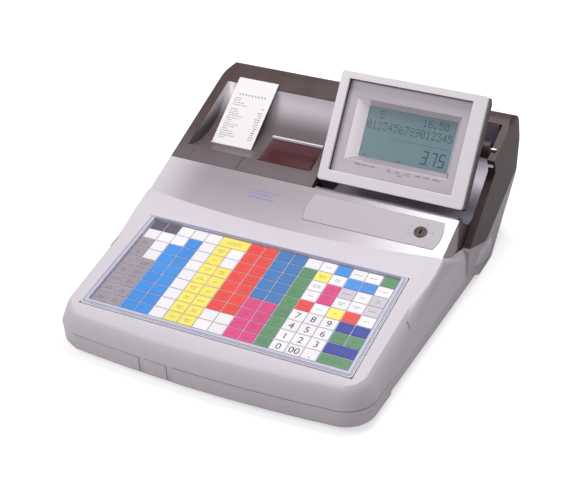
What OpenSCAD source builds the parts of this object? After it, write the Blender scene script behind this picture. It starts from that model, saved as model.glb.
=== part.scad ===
// Counter-top cash register with a flat key sheet, a two-roll printer under a
// lift-up cover and a tilting operator display.
// Millimetres, +Z up, +Y to the back, origin on the counter under the middle.

/* [Case] */
// Greatest width of the pale lower case, at its back end
case_w = 416; // [400:2:430]
// Width of the pale lower case at its front wall
case_front_w = 394; // [386:2:404]
// Depth of the whole machine, front wall to rear bulge
case_d = 520; // [510:2:540]
// Length of the pale lower case, front wall to its back end
base_len = 408; // [398:2:414]
// Wall thickness of the moulded shells
wall = 3; // [2.5:0.5:3.5]
// Height of the deck at its front edge
front_h = 51; // [46:1:56]
// Height of the parting line between the two halves of the lower case
parting_h = 29; // [26:1:32]
// Height of the pale wing at the back end of the lower case
wing_h = 38; // [34:1:42]
// Slope of the keyboard deck, degrees
deck_tilt = 10; // [9:0.5:11]
// Corner radius of the lower case in plan
corner_r = 38; // [32:1:44]
// How far the front wall bows out in the middle
front_bow = 8; // [4:1:12]
// How far the deck edge lies inside the widest line of the case
edge_run = 13; // [11:1:15]
// Height of the rubber feet
foot_h = 3; // [2:0.5:4]

/* [Keyboard] */
// Key pitch from left to right
key_pitch_x = 19; // [18:0.25:19.25]
// Key pitch from front to back
key_pitch_y = 17.2; // [16.5:0.1:17.5]
// Gap between neighbouring keys
key_gap = 1.3; // [0.8:0.1:2]
// How far each key pad stands above the sheet
key_rise = 0.6; // [0.4:0.1:1]
// Border of the clear frame beside the keys
frame_side = 9.5; // [8:0.5:11]
// Border of the clear frame in front of the keys
frame_front = 9.6; // [8:0.2:11]
// Border of the clear frame behind the keys
frame_rear = 6; // [5:0.5:8]
// Bare deck in front of the clear frame
deck_front = 21; // [18:1:24]
// Bare deck behind the clear frame
deck_rear = 18; // [15:1:22]

/* [Upper housing] */
// Slope of the upper housing, degrees
slope = 21.3; // [20:0.1:22]
// Width of the sloping surfaces between the side panels
upper_w = 392; // [388:1:396]
// Thickness of the side panels
side_t = 9.5; // [8:0.5:11]
// Radius of the ridge along the top
ridge_r = 28; // [24:1:32]
// Lean of the rear slope from level, degrees
rear_lean = 68; // [66:0.5:69]
// Height of the rear bulge
bulge_h = 92; // [86:1:98]
// How far the lower rear wall draws in from the bulge to the counter
tuck = 16; // [12:1:20]
// Length of the silver fascia up the slope
fascia_len = 82; // [78:1:84]
// Clearance between neighbouring covers
cover_gap = 0.5; // [0.4:0.1:0.8]

/* [Mode lock] */
// Left end of the mode panel
panel_x = 9; // [7:1:13]
// Distance of the mode panel up the slope
panel_s = 31; // [28:1:33]
// Length of the mode panel up the slope
panel_len = 43; // [40:1:44]
// Lock place from the middle of the machine
lock_x = 158; // [150:1:162]
// Radius of the lock barrel
lock_r = 8; // [7:0.5:9]

/* [Printer] */
// Width of the paper rolls
paper_w = 58; // [56:0.5:59]
// Radius of a full paper roll
roll_r = 37; // [32:1:38]
// Radius of the spindle that carries the rolls
spindle_r = 6; // [5:0.5:7]
// Radius of the platen rollers
platen_r = 7; // [6.5:0.25:7.5]
// Teeth on each platen gear
platen_teeth = 30; // [28:2:32]
// Teeth on each motor pinion
pinion_teeth = 14; // [12:2:14]
// Depth of the paper chute below the cover's surface
chute_depth = 26; // [24:1:28]
// Length of the paper that stands out of the receipt slot
receipt_len = 104; // [60:1:110]

/* [Display] */
// Width of the operator display
display_w = 188; // [180:1:190]
// Height of the operator display along its face
display_h = 138; // [130:1:142]
// Lean of the display from upright, degrees
display_lean = 33; // [31:0.5:35]
// Thickness of the display housing at its edges
display_t = 31; // [28:1:34]
// Border of the silver display frame at its left side
bezel_border = 12; // [10:0.5:13]
// Depth of the recessed panel below the silver frame
bezel_recess = 7; // [5:0.5:8]
// Radius of the display shaft
shaft_r = 4; // [3.5:0.25:4.5]
// Radius of the hinge barrel on the back of the display
barrel_r = 11; // [10:0.5:12]

/* [Hidden] */
$fn = 64;
run_fit = 0.05;
slice_t = 0.2;
far = 400;
base_front = -case_d / 2;
base_back = base_front + base_len;
key_rows = [
    "DDWWWY-RRKKWWBWWG",
    "WWWBWYWRRKKGYWBBW",
    "AWBBWYWRRKKGWPLWL",
    "AWBBWYYRRKKGWPWWL",
    "AABBWYYRRKKGRWYRW",
    "AABBWYYRRPPGWWWNN",
    "AABBWYYRRPPGWWWGG",
    "AABBWYYWWPPGWWWN-",
    "AABBWYYWWPPGWWWG-"
];
rows = len(key_rows);
cols = len(key_rows[0]);
field_w = cols * key_pitch_x;
field_l = rows * key_pitch_y;
frame_w = field_w + 2 * frame_side;
frame_l = frame_front + field_l + frame_rear;
frame_mid = (frame_rear - frame_front) / 2;
deck_len = deck_front + frame_l + deck_rear;
deck_y = base_front + edge_run;
kb_along = deck_front + frame_front + field_l / 2;
kb_y = deck_y + kb_along * cos(deck_tilt);
kb_z = front_h + kb_along * sin(deck_tilt);
slope_y = deck_y + deck_len * cos(deck_tilt);
slope_z = front_h + deck_len * sin(deck_tilt);
upper_x = upper_w / 2;
side_x = upper_x + cover_gap + side_t;

// Keyboard layers, measured from the deck surface
sheet_t = 0.8;
sheet_drop = 1.4;
sheet_in = 1;
plate_t = 1.2;
frame_rise = 2;
frame_ledge = 1;
frame_step = 2.4;
frame_r = 4;
field_fit = 0.6;
// Steel tongues that hold the backplate under the deck
tongue_w = 10;
tongue_in = 20;
tongue_fit = 0.2;

// Where the ridge arc sits: it touches the front slope and the rear slope
n_front = [-sin(slope), cos(slope)];
n_rear = [cos(90 - rear_lean), sin(90 - rear_lean)];
function cross2(a, b) = a[0] * b[1] - a[1] * b[0];
function dot2(a, b) = a[0] * b[0] + a[1] * b[1];
// Point that lies at distances da and db along two normals
function meet(na, da, nb, db) = [da * nb[1] - db * na[1], na[0] * db - nb[0] * da] / cross2(na, nb);
rear_y = case_d / 2;
front_reach = dot2(n_front, [slope_y, slope_z]);
rear_reach = dot2(n_rear, [rear_y, bulge_h]);
ridge = meet(n_front, front_reach - ridge_r, n_rear, rear_reach - ridge_r);
ridge_s = (ridge[0] - slope_y) * cos(slope) + (ridge[1] - slope_z) * sin(slope);
// Points along an arc about c, from angle a0 to a1 in n steps
function arc(c, r, a0, a1, n) =
    [for (i = [0:n]) let (a = a0 + (a1 - a0) * i / n) c + r * [cos(a), sin(a)]];
// Plain point on the slope, s along it and n above it
function on_slope_yz(s, n) = [slope_y, slope_z] + s * [cos(slope), sin(slope)] + n * n_front;
// Point on the rear slope, t up from the bulge and d inside the surface
function on_rear_yz(t, d) = [rear_y, bulge_h] + t * [-cos(rear_lean), sin(rear_lean)] - d * n_rear;

// The bulge where the rear slope turns down to the lower rear wall
bulge_r = 14;
tuck_a = atan(tuck / (bulge_h - foot_h));
bulge = [rear_y - bulge_r, bulge_h - bulge_r * tan((90 - rear_lean) / 2)];
rear_wall_top = bulge + bulge_r * [cos(tuck_a), -sin(tuck_a)];
rear_wall_a = atan((rear_wall_top[0] - rear_y + tuck) / (rear_wall_top[1] - foot_h));

// The wing: the sloping top edge of the pale case behind the deck
wing_y0 = slope_y + 18;
wing_z0 = slope_z + 2;
wing_fall = (wing_z0 - wing_h) / (base_back - wing_y0);
function wing_z(y) = wing_z0 - wing_fall * (y - wing_y0);

// Printer cover and its paper chute, as distances up the slope
cover_s = fascia_len + cover_gap;
cover_x0 = -upper_x;
cover_x1 = 3.4;
chute_low_s = 107;
chute_top_s = 230;
chute_wall = 2.4;
chute_x0 = cover_x0 + 13;
chute_x1 = cover_x1 - 11.4;
receipt_x = -138;
journal_x = -48;
hinge_t = 51;
hinge_in = 3.2;
hinge = on_rear_yz(hinge_t, hinge_in);
pin_r = 1.5;
knuckle_r = 4;
hinge_xs = [-168, -32];
knuckle_w = 12;
knuckle_gap = 0.6;
knuckle_step = knuckle_w + knuckle_gap;
// The chute's floor is a round trough, set by its chord and depth
chute_chord = chute_top_s - chute_low_s;
chute_r = (chute_chord * chute_chord / 4 + chute_depth * chute_depth) / (2 * chute_depth);
chute_mid = on_slope_yz(chute_low_s + chute_chord / 2, chute_r - chute_depth);
// Height of the chute's floor at y
function floor_z(y) = chute_mid[1] - sqrt(chute_r * chute_r - (y - chute_mid[0]) * (y - chute_mid[0]));
slot_y = slope_y + 134;
slot_z = floor_z(slot_y);
slot_gap = 5;
// The smoked journal window, from the chute's front edge back to its bright lip
lip_s = 155;
lip_drop = 8;
window_lip = on_slope_yz(lip_s, -lip_drop);
window_front = on_slope_yz(chute_low_s - 1, 0);
window_t = 1.6;
window_fit = 0.3;
window_x0 = -83;
window_x1 = -11;
lip_t = 2.6;
lip_len = 3.4;
// Seams of the receipt door in front of the chute
seam_w = 0.7;
seam_d = 0.8;
seam_in = 1.6;
seam_lean = -7;
seam_x = [chute_x0 + 11, chute_x0 + 79];

// Printer mechanism
platen_y = slot_y - 2;
platen_z = slot_z - 33;
gear_m = 1;
gear_w = 4;
gear_gap = gear_m * (platen_teeth + pinion_teeth) / 2;
motor_a = 235;
// Direction of the pinion in the platen gear's own turn, and the turn that sets it in mesh
mesh_a = motor_a + 90;
tooth_a = 360 / platen_teeth;
pinion_turn = mesh_a + 180 + (mesh_a % tooth_a) * platen_teeth / pinion_teeth - 180 / pinion_teeth;
motor_shaft_r = 1.5;
pinion_y = platen_y + gear_gap * cos(motor_a);
pinion_z = platen_z + gear_gap * sin(motor_a);
motor_r = 9;
station_w = paper_w + 5;
plate_w = 2;
plate_top = 9;
plate_gap = 4;
post_in = 20;
post_w = 10;
post_l = 30;
platen_shaft_r = 3;
boss_r = 4;
spool_shaft_r = 2.5;
// Play between a gear or a motor and the plate beside it
gear_out = 7;
motor_out = 3;
motor_l = 24;
// Play between the paper and the round parts that it passes
paper_gap = 0.4;
web_gap = 0.35;
head_gap = 0.9;
head_size = [6, 3, 18];
sink_size = [-6, 5, 10];
flange_t = 1.6;
frame_floor_z = pinion_z - motor_r - 3;
bin_r = roll_r + 4;
bin_t = 2.4;
bin_gap = 0.6;
bin_play = 2;
frame_y0 = platen_y - 40;
frame_y1 = platen_y + 17;
roll_y = frame_y1 + bin_gap + bin_r + bin_t;
bin_lift = 1.6;
roll_z = wing_h + bin_lift + bin_r + bin_t;
bin_rim = 14;
leg_w = 12;
leg_l = 20;
bin_x0 = cover_x0 + 8;
bin_x1 = cover_x1 - 6;
spool_y = platen_y - 30;
spool_z = platen_z - 3;
spool_r = 8;
spool_flange_r = 12;
paper_t = 0.4;
// The printed strip leans back on the chute's upper edge
strip_lift = 2.4;
strip_foot = [slot_y - 1.2, slot_z - 1.2];
strip_rest = on_slope_yz(chute_top_s, strip_lift);

// Operator display
display_x = upper_x - display_w;
display_y = on_slope_yz(fascia_len, 0)[0] + 6;
display_z = on_slope_yz(fascia_len, 0)[1] + 11;
pivot_v = 83;
pivot_d = 71;
pivot = [display_y + pivot_v * sin(display_lean) + pivot_d * cos(display_lean),
         display_z + pivot_v * cos(display_lean) - pivot_d * sin(display_lean)];
hub_r = 17;
bezel_d = 14;
bezel_r = 4;
shell_t = 2.5;
lcd_t = 4;
board_t = 1.6;
display_board_in = 20;
// The arm on the display's back: how far its ends lie inside the display, and its half height
arm_in = 26;
arm_h = 26;
// The recessed panel and the screen opening in it, measured from the frame's edges
bezel_right = bezel_border + 5.5;
bezel_low = bezel_border + 2;
bezel_top = bezel_border - 3;
recess_w = display_w - bezel_border - bezel_right;
recess_h = display_h - bezel_low - bezel_top;
mask_fit = 0.2;
screen_u = bezel_border + 29;
screen_v = bezel_low + 25.3;
screen_w = display_w - screen_u - bezel_right - 15;
screen_h = display_h - screen_v - bezel_top - 26.7;
bevel_left = 15.5;
bevel_right = 5;
bevel_low = 7.2;
bevel_top = 6.3;
screen_depth = 7;
lcd_edge = 6;

foot_r = 9;
foot_xs = [-165, 165];
foot_ys = [base_front + 50, rear_y - 45];

// Frames of reference

// Puts children on the keyboard deck, origin at the middle of the keys
module on_deck() {
    translate([0, kb_y, kb_z]) rotate([deck_tilt, 0, 0]) children();
}

// Puts children on the upper slope, Y up the slope and Z out of it
module on_slope() {
    translate([0, slope_y, slope_z]) rotate([slope, 0, 0]) children();
}

// Puts children on the display, X from its left edge, -Y out of its face, Z up it
module on_display() {
    translate([display_x, display_y, display_z]) rotate([-display_lean, 0, 0]) children();
}

// A profile drawn in Y and Z, extruded along X
module along_x(x0, x1) {
    translate([x0, 0, 0]) rotate([90, 0, 90]) linear_extrude(x1 - x0) children();
}

// A round bar along X
module bar_x(x0, x1, y, z, r) {
    translate([x0, y, z]) rotate([0, 90, 0]) cylinder(h = x1 - x0, r = r);
}

// A rounded rectangle with its low corner at the origin
module round_rect(w, h, r) {
    translate([r, 0]) square([w - 2 * r, h]);
    translate([0, r]) square([w, h - 2 * r]);
    for (x = [r, w - r], y = [r, h - r]) translate([x, y]) circle(r);
}

// Involute spur gear about the Z axis
module spur(teeth, w, bore) {
    pitch_r = gear_m * teeth / 2;
    base_r = pitch_r * cos(20);
    tip_r = pitch_r + 0.9 * gear_m;
    root_r = pitch_r - 1.25 * gear_m;
    tip_t = sqrt(pow(tip_r / base_r, 2) - 1) * 180 / PI;
    pitch_t = sqrt(pow(pitch_r / base_r, 2) - 1) * 180 / PI;
    half = 90 / teeth - 4 / teeth + pitch_t - atan(pitch_t * PI / 180);
    flank = [for (i = [0:4]) let (t = tip_t * i / 4,
        p = base_r * [cos(t) + t * PI / 180 * sin(t), sin(t) - t * PI / 180 * cos(t)])
        [p[0] * cos(half) + p[1] * sin(half), p[1] * cos(half) - p[0] * sin(half)]];
    mirrored = [for (i = [4:-1:0]) [flank[i][0], -flank[i][1]]];
    linear_extrude(w) difference() {
        union() {
            circle(root_r);
            for (i = [0:teeth - 1]) rotate(360 * i / teeth)
                polygon(concat([[0, -base_r * sin(half)]], flank, mirrored, [[0, base_r * sin(half)]]));
        }
        circle(bore);
    }
}

// Lower case

// Half width of the pale case at y
function half_w(y) = (case_front_w + (case_w - case_front_w) * (y - base_front) / base_len) / 2;
bow_x = case_front_w / 2 - corner_r;

// Marks that carry the plan outline of the lower case, drawn in by inset
module plan_front(inset) {
    polygon([for (i = [-5:5]) [bow_x * i / 5, base_front + inset + front_bow * i * i / 25]]);
    for (side = [-1, 1]) translate([side * bow_x, base_front + front_bow + corner_r])
        circle(corner_r - inset, $fn = 48);
}

module plan_back(inset, y) {
    for (side = [-1, 1]) translate([side * (half_w(y) - inset - 1), y - 1]) circle(1, $fn = 16);
}

// Slab along the deck slope, used as one slice of the case
module deck_slice(inset, depth) {
    multmatrix([[1, 0, 0, 0], [0, 1, 0, 0],
        [0, tan(deck_tilt), 1, front_h - slice_t - depth - tan(deck_tilt) * deck_y], [0, 0, 0, 1]])
        linear_extrude(slice_t) {
            plan_front(inset);
            plan_back(inset, wing_y0);
        }
}

// Outer form of the lower case, drawn in by d all round
module case_form(d) {
    hull() {
        for (level = [[foot_h, 5], [foot_h + 6, 1.4], [parting_h, 0]])
            translate([0, 0, level[0] + (level[0] < parting_h ? d : 0)]) linear_extrude(slice_t) {
                plan_front(level[1] + d);
                plan_back(level[1] + d, base_back - d);
            }
        translate([0, 0, wing_h - slice_t - d]) linear_extrude(slice_t) plan_back(2 + d, base_back - d);
        for (edge = [[0.28, 1], [0.5, 0.5], [0.75, 0.17], [1, 0]])
            deck_slice(edge_run * edge[0] + d, 15 * edge[1] + d);
    }
}

// The open well of the lower case under the upper housing
well_rim = 16;
well_y0 = wing_y0 + 4;
well_y1 = base_back - 10;
function well_x(y) = half_w(y) - well_rim;

module above(z) {
    translate([-far, -far, z]) cube([2 * far, 2 * far, far]);
}

module below(z) {
    translate([-far, -far, z - far]) cube([2 * far, 2 * far, far]);
}

// Front panels, as boxes that cut a patch out of the front wall
panel_proud = 0.5;
panel_in = 1.4;
panel_gap = 0.4;
door_low = foot_h + 3;
door_x = [-166, -74];
centre_x = [-66, -38];
right_x = [-30, far];
left_top = parting_h - 1.5;
right_top = parting_h - 1.5;
right_step = parting_h - 8;
step_proud = 0.8;
corner_back = base_front + 84;

module front_patch(x0, x1, z1, grow) {
    translate([x0 - grow, base_front - 20, door_low - grow])
        cube([x1 - x0 + 2 * grow, corner_back - base_front + 20 + grow, z1 - door_low + 2 * grow]);
}

module front_panel(x0, x1, z1, proud = panel_proud) {
    intersection() {
        difference() {
            case_form(-proud);
            case_form(panel_in);
        }
        front_patch(x0, x1, z1, 0);
        translate([-far, base_front - 20, 0])
            cube([2 * far, (x1 > upper_x ? corner_back : base_front + 34) - base_front + 20, far]);
    }
}

module panel_seats() {
    difference() {
        union() {
            front_patch(door_x[0], door_x[1], left_top, panel_gap);
            front_patch(centre_x[0], centre_x[1], left_top, panel_gap);
            front_patch(right_x[0], right_x[1], right_top, panel_gap);
        }
        case_form(panel_in);
    }
}

module bottom_case() {
    color("gainsboro") difference() {
        intersection() {
            case_form(0.5);
            below(parting_h);
        }
        case_form(wall);
        panel_seats();
        for (x = foot_xs) translate([x, foot_ys[0], 0]) cylinder(h = foot_h + 1, r = foot_r);
    }
    color("gainsboro") for (x = [-90, 90], y = [kb_y - 40, kb_y + 60]) translate([x, y, foot_h + wall])
        cylinder(h = 8, r = 4);
}

module top_case() {
    color("gainsboro") difference() {
        intersection() {
            case_form(0);
            above(parting_h);
        }
        case_form(wall);
        panel_seats();
        on_deck() translate([-frame_w / 2, -field_l / 2 - frame_front, -20]) cube([frame_w, frame_l, 40]);
        linear_extrude(far) polygon([[-well_x(well_y0), well_y0], [well_x(well_y0), well_y0],
            [well_x(well_y1), well_y1], [-well_x(well_y1), well_y1]]);
    }
}

module front_left_door() {
    color("silver") front_panel(door_x[0], door_x[1], left_top);
}

module front_centre_cover() {
    color("silver") front_panel(centre_x[0], centre_x[1], left_top);
}

module front_right_cover() {
    color("silver") {
        front_panel(right_x[0], right_x[1], right_top);
        front_panel(right_x[0], right_x[1], right_step, step_proud);
    }
}

module rubber_feet() {
    color("dimgray") for (x = foot_xs, y = foot_ys) translate([x, y, 0]) cylinder(h = foot_h + 1, r = foot_r);
}

module case_screws() {
    color("silver") for (x = [-90, 90], y = [kb_y - 40, kb_y + 60])
        translate([x, y, foot_h + wall + 8 + 1.6]) cylinder(h = 2.2, r = 3.4);
}

// Keyboard

module keyboard_frame() {
    color("lightsteelblue") on_deck() translate([-frame_w / 2, -field_l / 2 - frame_front, 0]) difference() {
        union() {
            translate([cover_gap, cover_gap, -sheet_drop]) linear_extrude(sheet_drop + frame_ledge)
                round_rect(frame_w - 2 * cover_gap, frame_l - 2 * cover_gap, frame_r);
            translate([frame_step, frame_step, frame_ledge]) linear_extrude(frame_rise - frame_ledge)
                round_rect(frame_w - 2 * frame_step, frame_l - 2 * frame_step, frame_r + 1);
        }
        translate([frame_side - field_fit, frame_front - field_fit, -far])
            cube([field_w + 2 * field_fit, field_l + 2 * field_fit, 2 * far]);
    }
}

// A plate under the keys, its lower face drop below the keys' seat
module under_keys(drop, t) {
    on_deck() translate([sheet_in - frame_w / 2, frame_mid - frame_l / 2 + sheet_in, -sheet_drop - drop])
        cube([frame_w - 2 * sheet_in, frame_l - 2 * sheet_in, t]);
}

module keyboard_sheet() {
    color("whitesmoke") under_keys(sheet_t, sheet_t);
}

// All keys of one colour code; a key followed by a dash is two columns wide
module keys(code) {
    on_deck() for (row = [0:rows - 1], col = [0:cols - 1])
        if (key_rows[row][col] == code) {
            wide = (col + 1 < cols && key_rows[row][col + 1] == "-") ? 2 : 1;
            translate([-field_w / 2 + col * key_pitch_x + key_gap / 2,
                field_l / 2 - (row + 1) * key_pitch_y + key_gap / 2, -sheet_drop])
                cube([wide * key_pitch_x - key_gap, key_pitch_y - key_gap, key_rise]);
        }
}

module white_keys() { color("white") keys("W"); }
module light_blue_keys() { color("dodgerblue") keys("B"); }
module dark_blue_keys() { color("steelblue") keys("K"); }
module yellow_keys() { color("khaki") keys("Y"); }
module red_keys() { color("tomato") keys("R"); }
module pink_keys() { color("mediumvioletred") keys("P"); }
module green_keys() { color("seagreen") keys("G"); }
module grey_keys() { color("darkgray") keys("A"); }
module light_grey_keys() { color("lightgray") keys("L"); }
module dark_grey_keys() { color("dimgray") keys("D"); }
module navy_keys() { color("navy") keys("N"); }

module keyboard_backplate() {
    color("silver") under_keys(sheet_t + plate_t, plate_t);
    color("silver") on_deck() for (side = [-1, 1])
        translate([side * (frame_w / 2 + sheet_in) - tongue_w / 2, frame_mid - frame_l / 2 + tongue_in,
            -wall / cos(deck_tilt) - plate_t - tongue_fit])
                cube([tongue_w, frame_l - 2 * tongue_in, plate_t]);
}

// Fascia and mode lock

// Puts children on the lock's axis, Z out of the slope
module at_lock() {
    on_slope() translate([lock_x, panel_s + panel_len / 2, 0]) children();
}

fascia_drop = 4;
fascia_skirt = 40;
module front_fascia() {
    low = slope_z - fascia_drop;
    top = on_slope_yz(fascia_len, 0);
    past = on_slope_yz(fascia_len + 3 * wall, -wall);
    color("silver") difference() {
        along_x(-upper_x, upper_x) polygon([[slope_y, low], [slope_y, slope_z], top, top - [0, fascia_skirt],
            [wing_y0, low - 2 * wall]]);
        along_x(-upper_x + wall, upper_x - wall) polygon([[slope_y + wall, low - fascia_skirt],
            [slope_y + wall, slope_z - 2 * wall], on_slope_yz(2 * wall, -wall), past,
            [past[0], low - fascia_skirt]]);
        case_form(0);
        on_slope() translate([0, 0, -panel_d]) linear_extrude(far) panel_plan(0);
        at_lock() translate([0, 0, -far / 2]) cylinder(h = far, r = lock_r + lock_fit);
    }
}

// Outline of the mode panel: straight long sides and bowed ends
panel_d = 1;
panel_t = 1.5;
panel_fit = 0.4;
panel_end = 11;
panel_end_r = 53;
module panel_plan(inset) {
    w = upper_x - panel_end - panel_x;
    intersection() {
        translate([panel_x + inset, panel_s + inset]) square([w - 2 * inset, panel_len - 2 * inset]);
        union() {
            for (x = [panel_x + panel_end_r, panel_x + w - panel_end_r])
                translate([x, panel_s + panel_len / 2]) circle(panel_end_r - inset, $fn = 128);
            translate([panel_x + panel_end_r, panel_s]) square([w - 2 * panel_end_r, panel_len]);
        }
    }
}

module mode_panel() {
    color("lightgray") on_slope() translate([0, 0, -panel_d]) difference() {
        linear_extrude(panel_t) panel_plan(panel_fit);
        translate([lock_x, panel_s + panel_len / 2, -panel_d]) cylinder(h = 9, r = lock_r + lock_fit);
    }
}

lock_fit = 0.1;
lock_wall = 2;
lock_depth = 16;
lock_proud = 1.6;
lock_nut = 2;
keyway = [1.8, 6.8, 4.2];
module lock_barrel() {
    color("dimgray") at_lock() difference() {
        union() {
            translate([0, 0, -lock_depth]) cylinder(h = lock_depth + lock_proud, r = lock_r);
            translate([0, 0, -wall - lock_nut - 0.3]) cylinder(h = lock_nut, r = lock_r + 3);
        }
        translate([0, 0, -far / 2]) cylinder(h = far, r = lock_r - lock_wall);
    }
}

module lock_rotor() {
    top = lock_proud - 0.4;
    color("gray") at_lock() difference() {
        union() {
            translate([0, 0, -lock_depth - 2])
                cylinder(h = lock_depth + 2 + top, r = lock_r - lock_wall - run_fit);
            translate([0, 0, -lock_depth - 2.3]) cylinder(h = 2, r = lock_r - 0.5);
        }
        translate([-keyway[0] / 2, -keyway[1] / 2, top - keyway[2]]) cube([keyway[0], keyway[1], far]);
    }
}

// Upper housing

// Side view of the whole upper housing, as a closed outline
function housing_outline(inset) = concat(
    [[slope_y + inset, slope_z - 6], on_slope_yz(2 + inset, -inset)],
    arc(ridge, ridge_r - inset, 90 + slope, 90 - rear_lean, 14),
    arc(bulge, bulge_r - inset, 90 - rear_lean, -tuck_a, 6),
    [[rear_y - tuck - inset, foot_h + inset], [base_back - 40, foot_h + inset]]);

// A slab with two rounded corners at its far end
module arch(w, h, r) {
    translate([-w / 2, 0]) square([w, h - r]);
    translate([r - w / 2, 0]) square([w - 2 * r, h]);
    for (side = [-1, 1]) translate([side * (w / 2 - r), h - r]) circle(r);
}

// Behind the pale case the sides rise off the counter; only the core between them stands on it
core_x = 186;
rise_a = 45;
rise_y = base_back + 10;
module side_rise(inset) {
    foot = [rise_y, foot_h] + inset * [-sin(rise_a), cos(rise_a)];
    along = far * [cos(rise_a), sin(rise_a)];
    up = 2 * far * [-sin(rise_a), cos(rise_a)];
    polygon([foot - 2 * along, foot + along, foot + along + up, foot - 2 * along + up]);
}

// The housing's form, drawn in by inset, with rounded rear corners and ridge ends
rear_corner_r = 20;
ridge_end_r = 9;
module housing_form(inset) {
    width = 2 * (side_x - inset);
    intersection() {
        along_x(-side_x + inset, side_x - inset) polygon(housing_outline(inset));
        translate([0, -far, 0]) linear_extrude(far) arch(width, far + rear_y - inset, rear_corner_r - inset);
        ridge_ends(width, inset);
        union() {
            translate([inset - core_x, -far, 0]) cube([2 * (core_x - inset), 2 * far, far]);
            along_x(-side_x, side_x) side_rise(inset);
        }
    }
}

// Rounds the two ends of the ridge
module ridge_ends(width, inset) {
    translate([0, far, 0]) rotate([90, 0, 0]) linear_extrude(2 * far)
        arch(width, ridge[1] + ridge_r - inset, ridge_end_r - inset);
}

// The side panel's outline: from the wing up to the display hub and the ridge
ear_low_y = slope_y + 94;
ear_front = [[ear_low_y, wing_z(ear_low_y)], [ear_low_y + 86, wing_z(ear_low_y) + 68]];
module ear(grow) {
    polygon(concat([ear_front[0] - [grow, grow], ear_front[1] + grow * [-0.8, 0.6]],
        [pivot - [hub_r - 3, 0], [ridge[0] - 24, ridge[1] + 14], [ridge[0], far], [far, far], [far, -far],
         [ear_low_y, -far]]));
    translate(pivot) circle(hub_r + grow);
}

// The left side panel's outline, drawn in by inset
side_drop = 19;
hollow_in = wall + 7;
bay_front = on_slope_yz(cover_s, 0);
bay_top = 8;
hinge_room = 4.6;
knuckle_reach = 9;
module left_side(inset) {
    intersection() {
        translate([0, -side_drop]) polygon(housing_outline(inset));
        translate([ear_low_y + inset, -far]) square(2 * far);
    }
}

module rear_case() {
    color("dimgray") difference() {
        union() {
            intersection() {
                housing_form(0);
                union() {
                    // Side panels: the right one carries the display, the left one lies below the cover's rim
                    along_x(upper_x + cover_gap, side_x) ear(0);
                    along_x(-side_x, -upper_x - cover_gap) left_side(0);
                    // Wall of the printer bay below the cover's left rim
                    along_x(-upper_x - cover_gap, -upper_x + wall) polygon([
                        [bay_front[0], wing_z(slope_y + 60) - 20], bay_front - [0, rim_front + 7],
                        on_slope_yz(cover_s + 10, -rim_low - 3), on_slope_yz(ridge_s - 20, -rim_high - 2),
                        ridge - [30, 60], [base_back - 20, wing_z(base_back) - 10]]);
                    // Rear wall, floor and the ridge behind the display
                    difference() {
                        translate([-far, base_back + 0.4, 0]) cube([2 * far, far, far]);
                        housing_form(wall);
                        along_x(-upper_x - cover_gap, cover_x1 + cover_gap)
                            polygon([on_rear_yz(hinge_t - hinge_room, -20),
                                on_rear_yz(hinge_t - hinge_room, 40), on_slope_yz(ridge_s - 80, -60),
                                on_slope_yz(0, 200), [far, far]]);
                        along_x(cover_x1, upper_x + cover_gap)
                            polygon([on_slope_yz(ridge_s - bay_top, 20), on_slope_yz(ridge_s - bay_top, -40),
                                on_slope_yz(0, -40), on_slope_yz(0, 20)]);
                        along_x(-far, -upper_x - cover_gap) difference() {
                            translate([-far, foot_h]) square(2 * far);
                            left_side(0);
                        }
                    }
                    // Partition between the printer and the display
                    along_x(cover_x1 + cover_gap, cover_x1 + cover_gap + wall) difference() {
                        union() {
                            polygon([on_slope_yz(cover_s + 20, -bay_top),
                                on_slope_yz(ridge_s - bay_top, -bay_top), ridge + [0, ridge_r],
                                [rear_y, bulge_h + ridge_r], [rear_y, foot_h],
                                [base_back, foot_h], [base_back - 60, wing_z(base_back - 60) + 1]]);
                            translate(pivot) circle(hub_r - 3);
                        }
                        translate(pivot) circle(shaft_r);
                    }
                }
            }
            // Hinge knuckles of the rear wall
            for (x = hinge_xs) for (side = [-1, 1]) translate([x + side * knuckle_step, 0, 0]) {
                bar_x(-knuckle_w / 2, knuckle_w / 2, hinge[0], hinge[1], knuckle_r);
                along_x(-knuckle_w / 2, knuckle_w / 2)
                    polygon([hinge + 0.7 * knuckle_r * [cos(30), sin(30)],
                        on_rear_yz(hinge_t - knuckle_reach, 0.2),
                        on_rear_yz(hinge_t - knuckle_reach, wall + 2), hinge - knuckle_r * [1, 0]]);
            }
        }
        case_form(0);
        // Hollow of the side panels
        along_x(upper_x + cover_gap - 1, side_x - wall) difference() {
            intersection() {
                polygon(housing_outline(hollow_in));
                translate([0, -6]) ear(-6);
                side_rise(hollow_in);
            }
            translate(pivot) circle(hub_r);
        }
        along_x(-side_x + wall, -upper_x - cover_gap + 1) intersection() {
            left_side(hollow_in);
            side_rise(hollow_in);
        }
        bar_x(cover_x1, side_x - wall, pivot[0], pivot[1], shaft_r);
        for (x = hinge_xs) bar_x(x - 40, x + 40, hinge[0], hinge[1], pin_r);
        // Seats for the connector panel, the cord bush and the customer's display
        on_rear_wall() translate([ports_x, -20, ports_h]) cube([ports_w, 40, ports_l]);
        on_rear_wall() translate([gland_x, -20, gland_h]) rotate([-90, 0, 0]) cylinder(h = 40, r = gland_r);
        customer_place() translate([-0.3, -10, -0.3]) cube([120.6, 60, 30.6]);
        for (x = foot_xs) translate([x, foot_ys[1], 0]) cylinder(h = foot_h + 1, r = foot_r);
    }
}

// Puts children on the lower rear wall, Y out of it and Z up it
module on_rear_wall() {
    translate([0, rear_y - tuck, foot_h]) rotate([-rear_wall_a, 0, 0]) children();
}

ports_x = 44;
ports_w = 106;
ports_h = 18;
ports_l = 42;
gland_x = -150;
gland_h = 26;
gland_r = 8;

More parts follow.
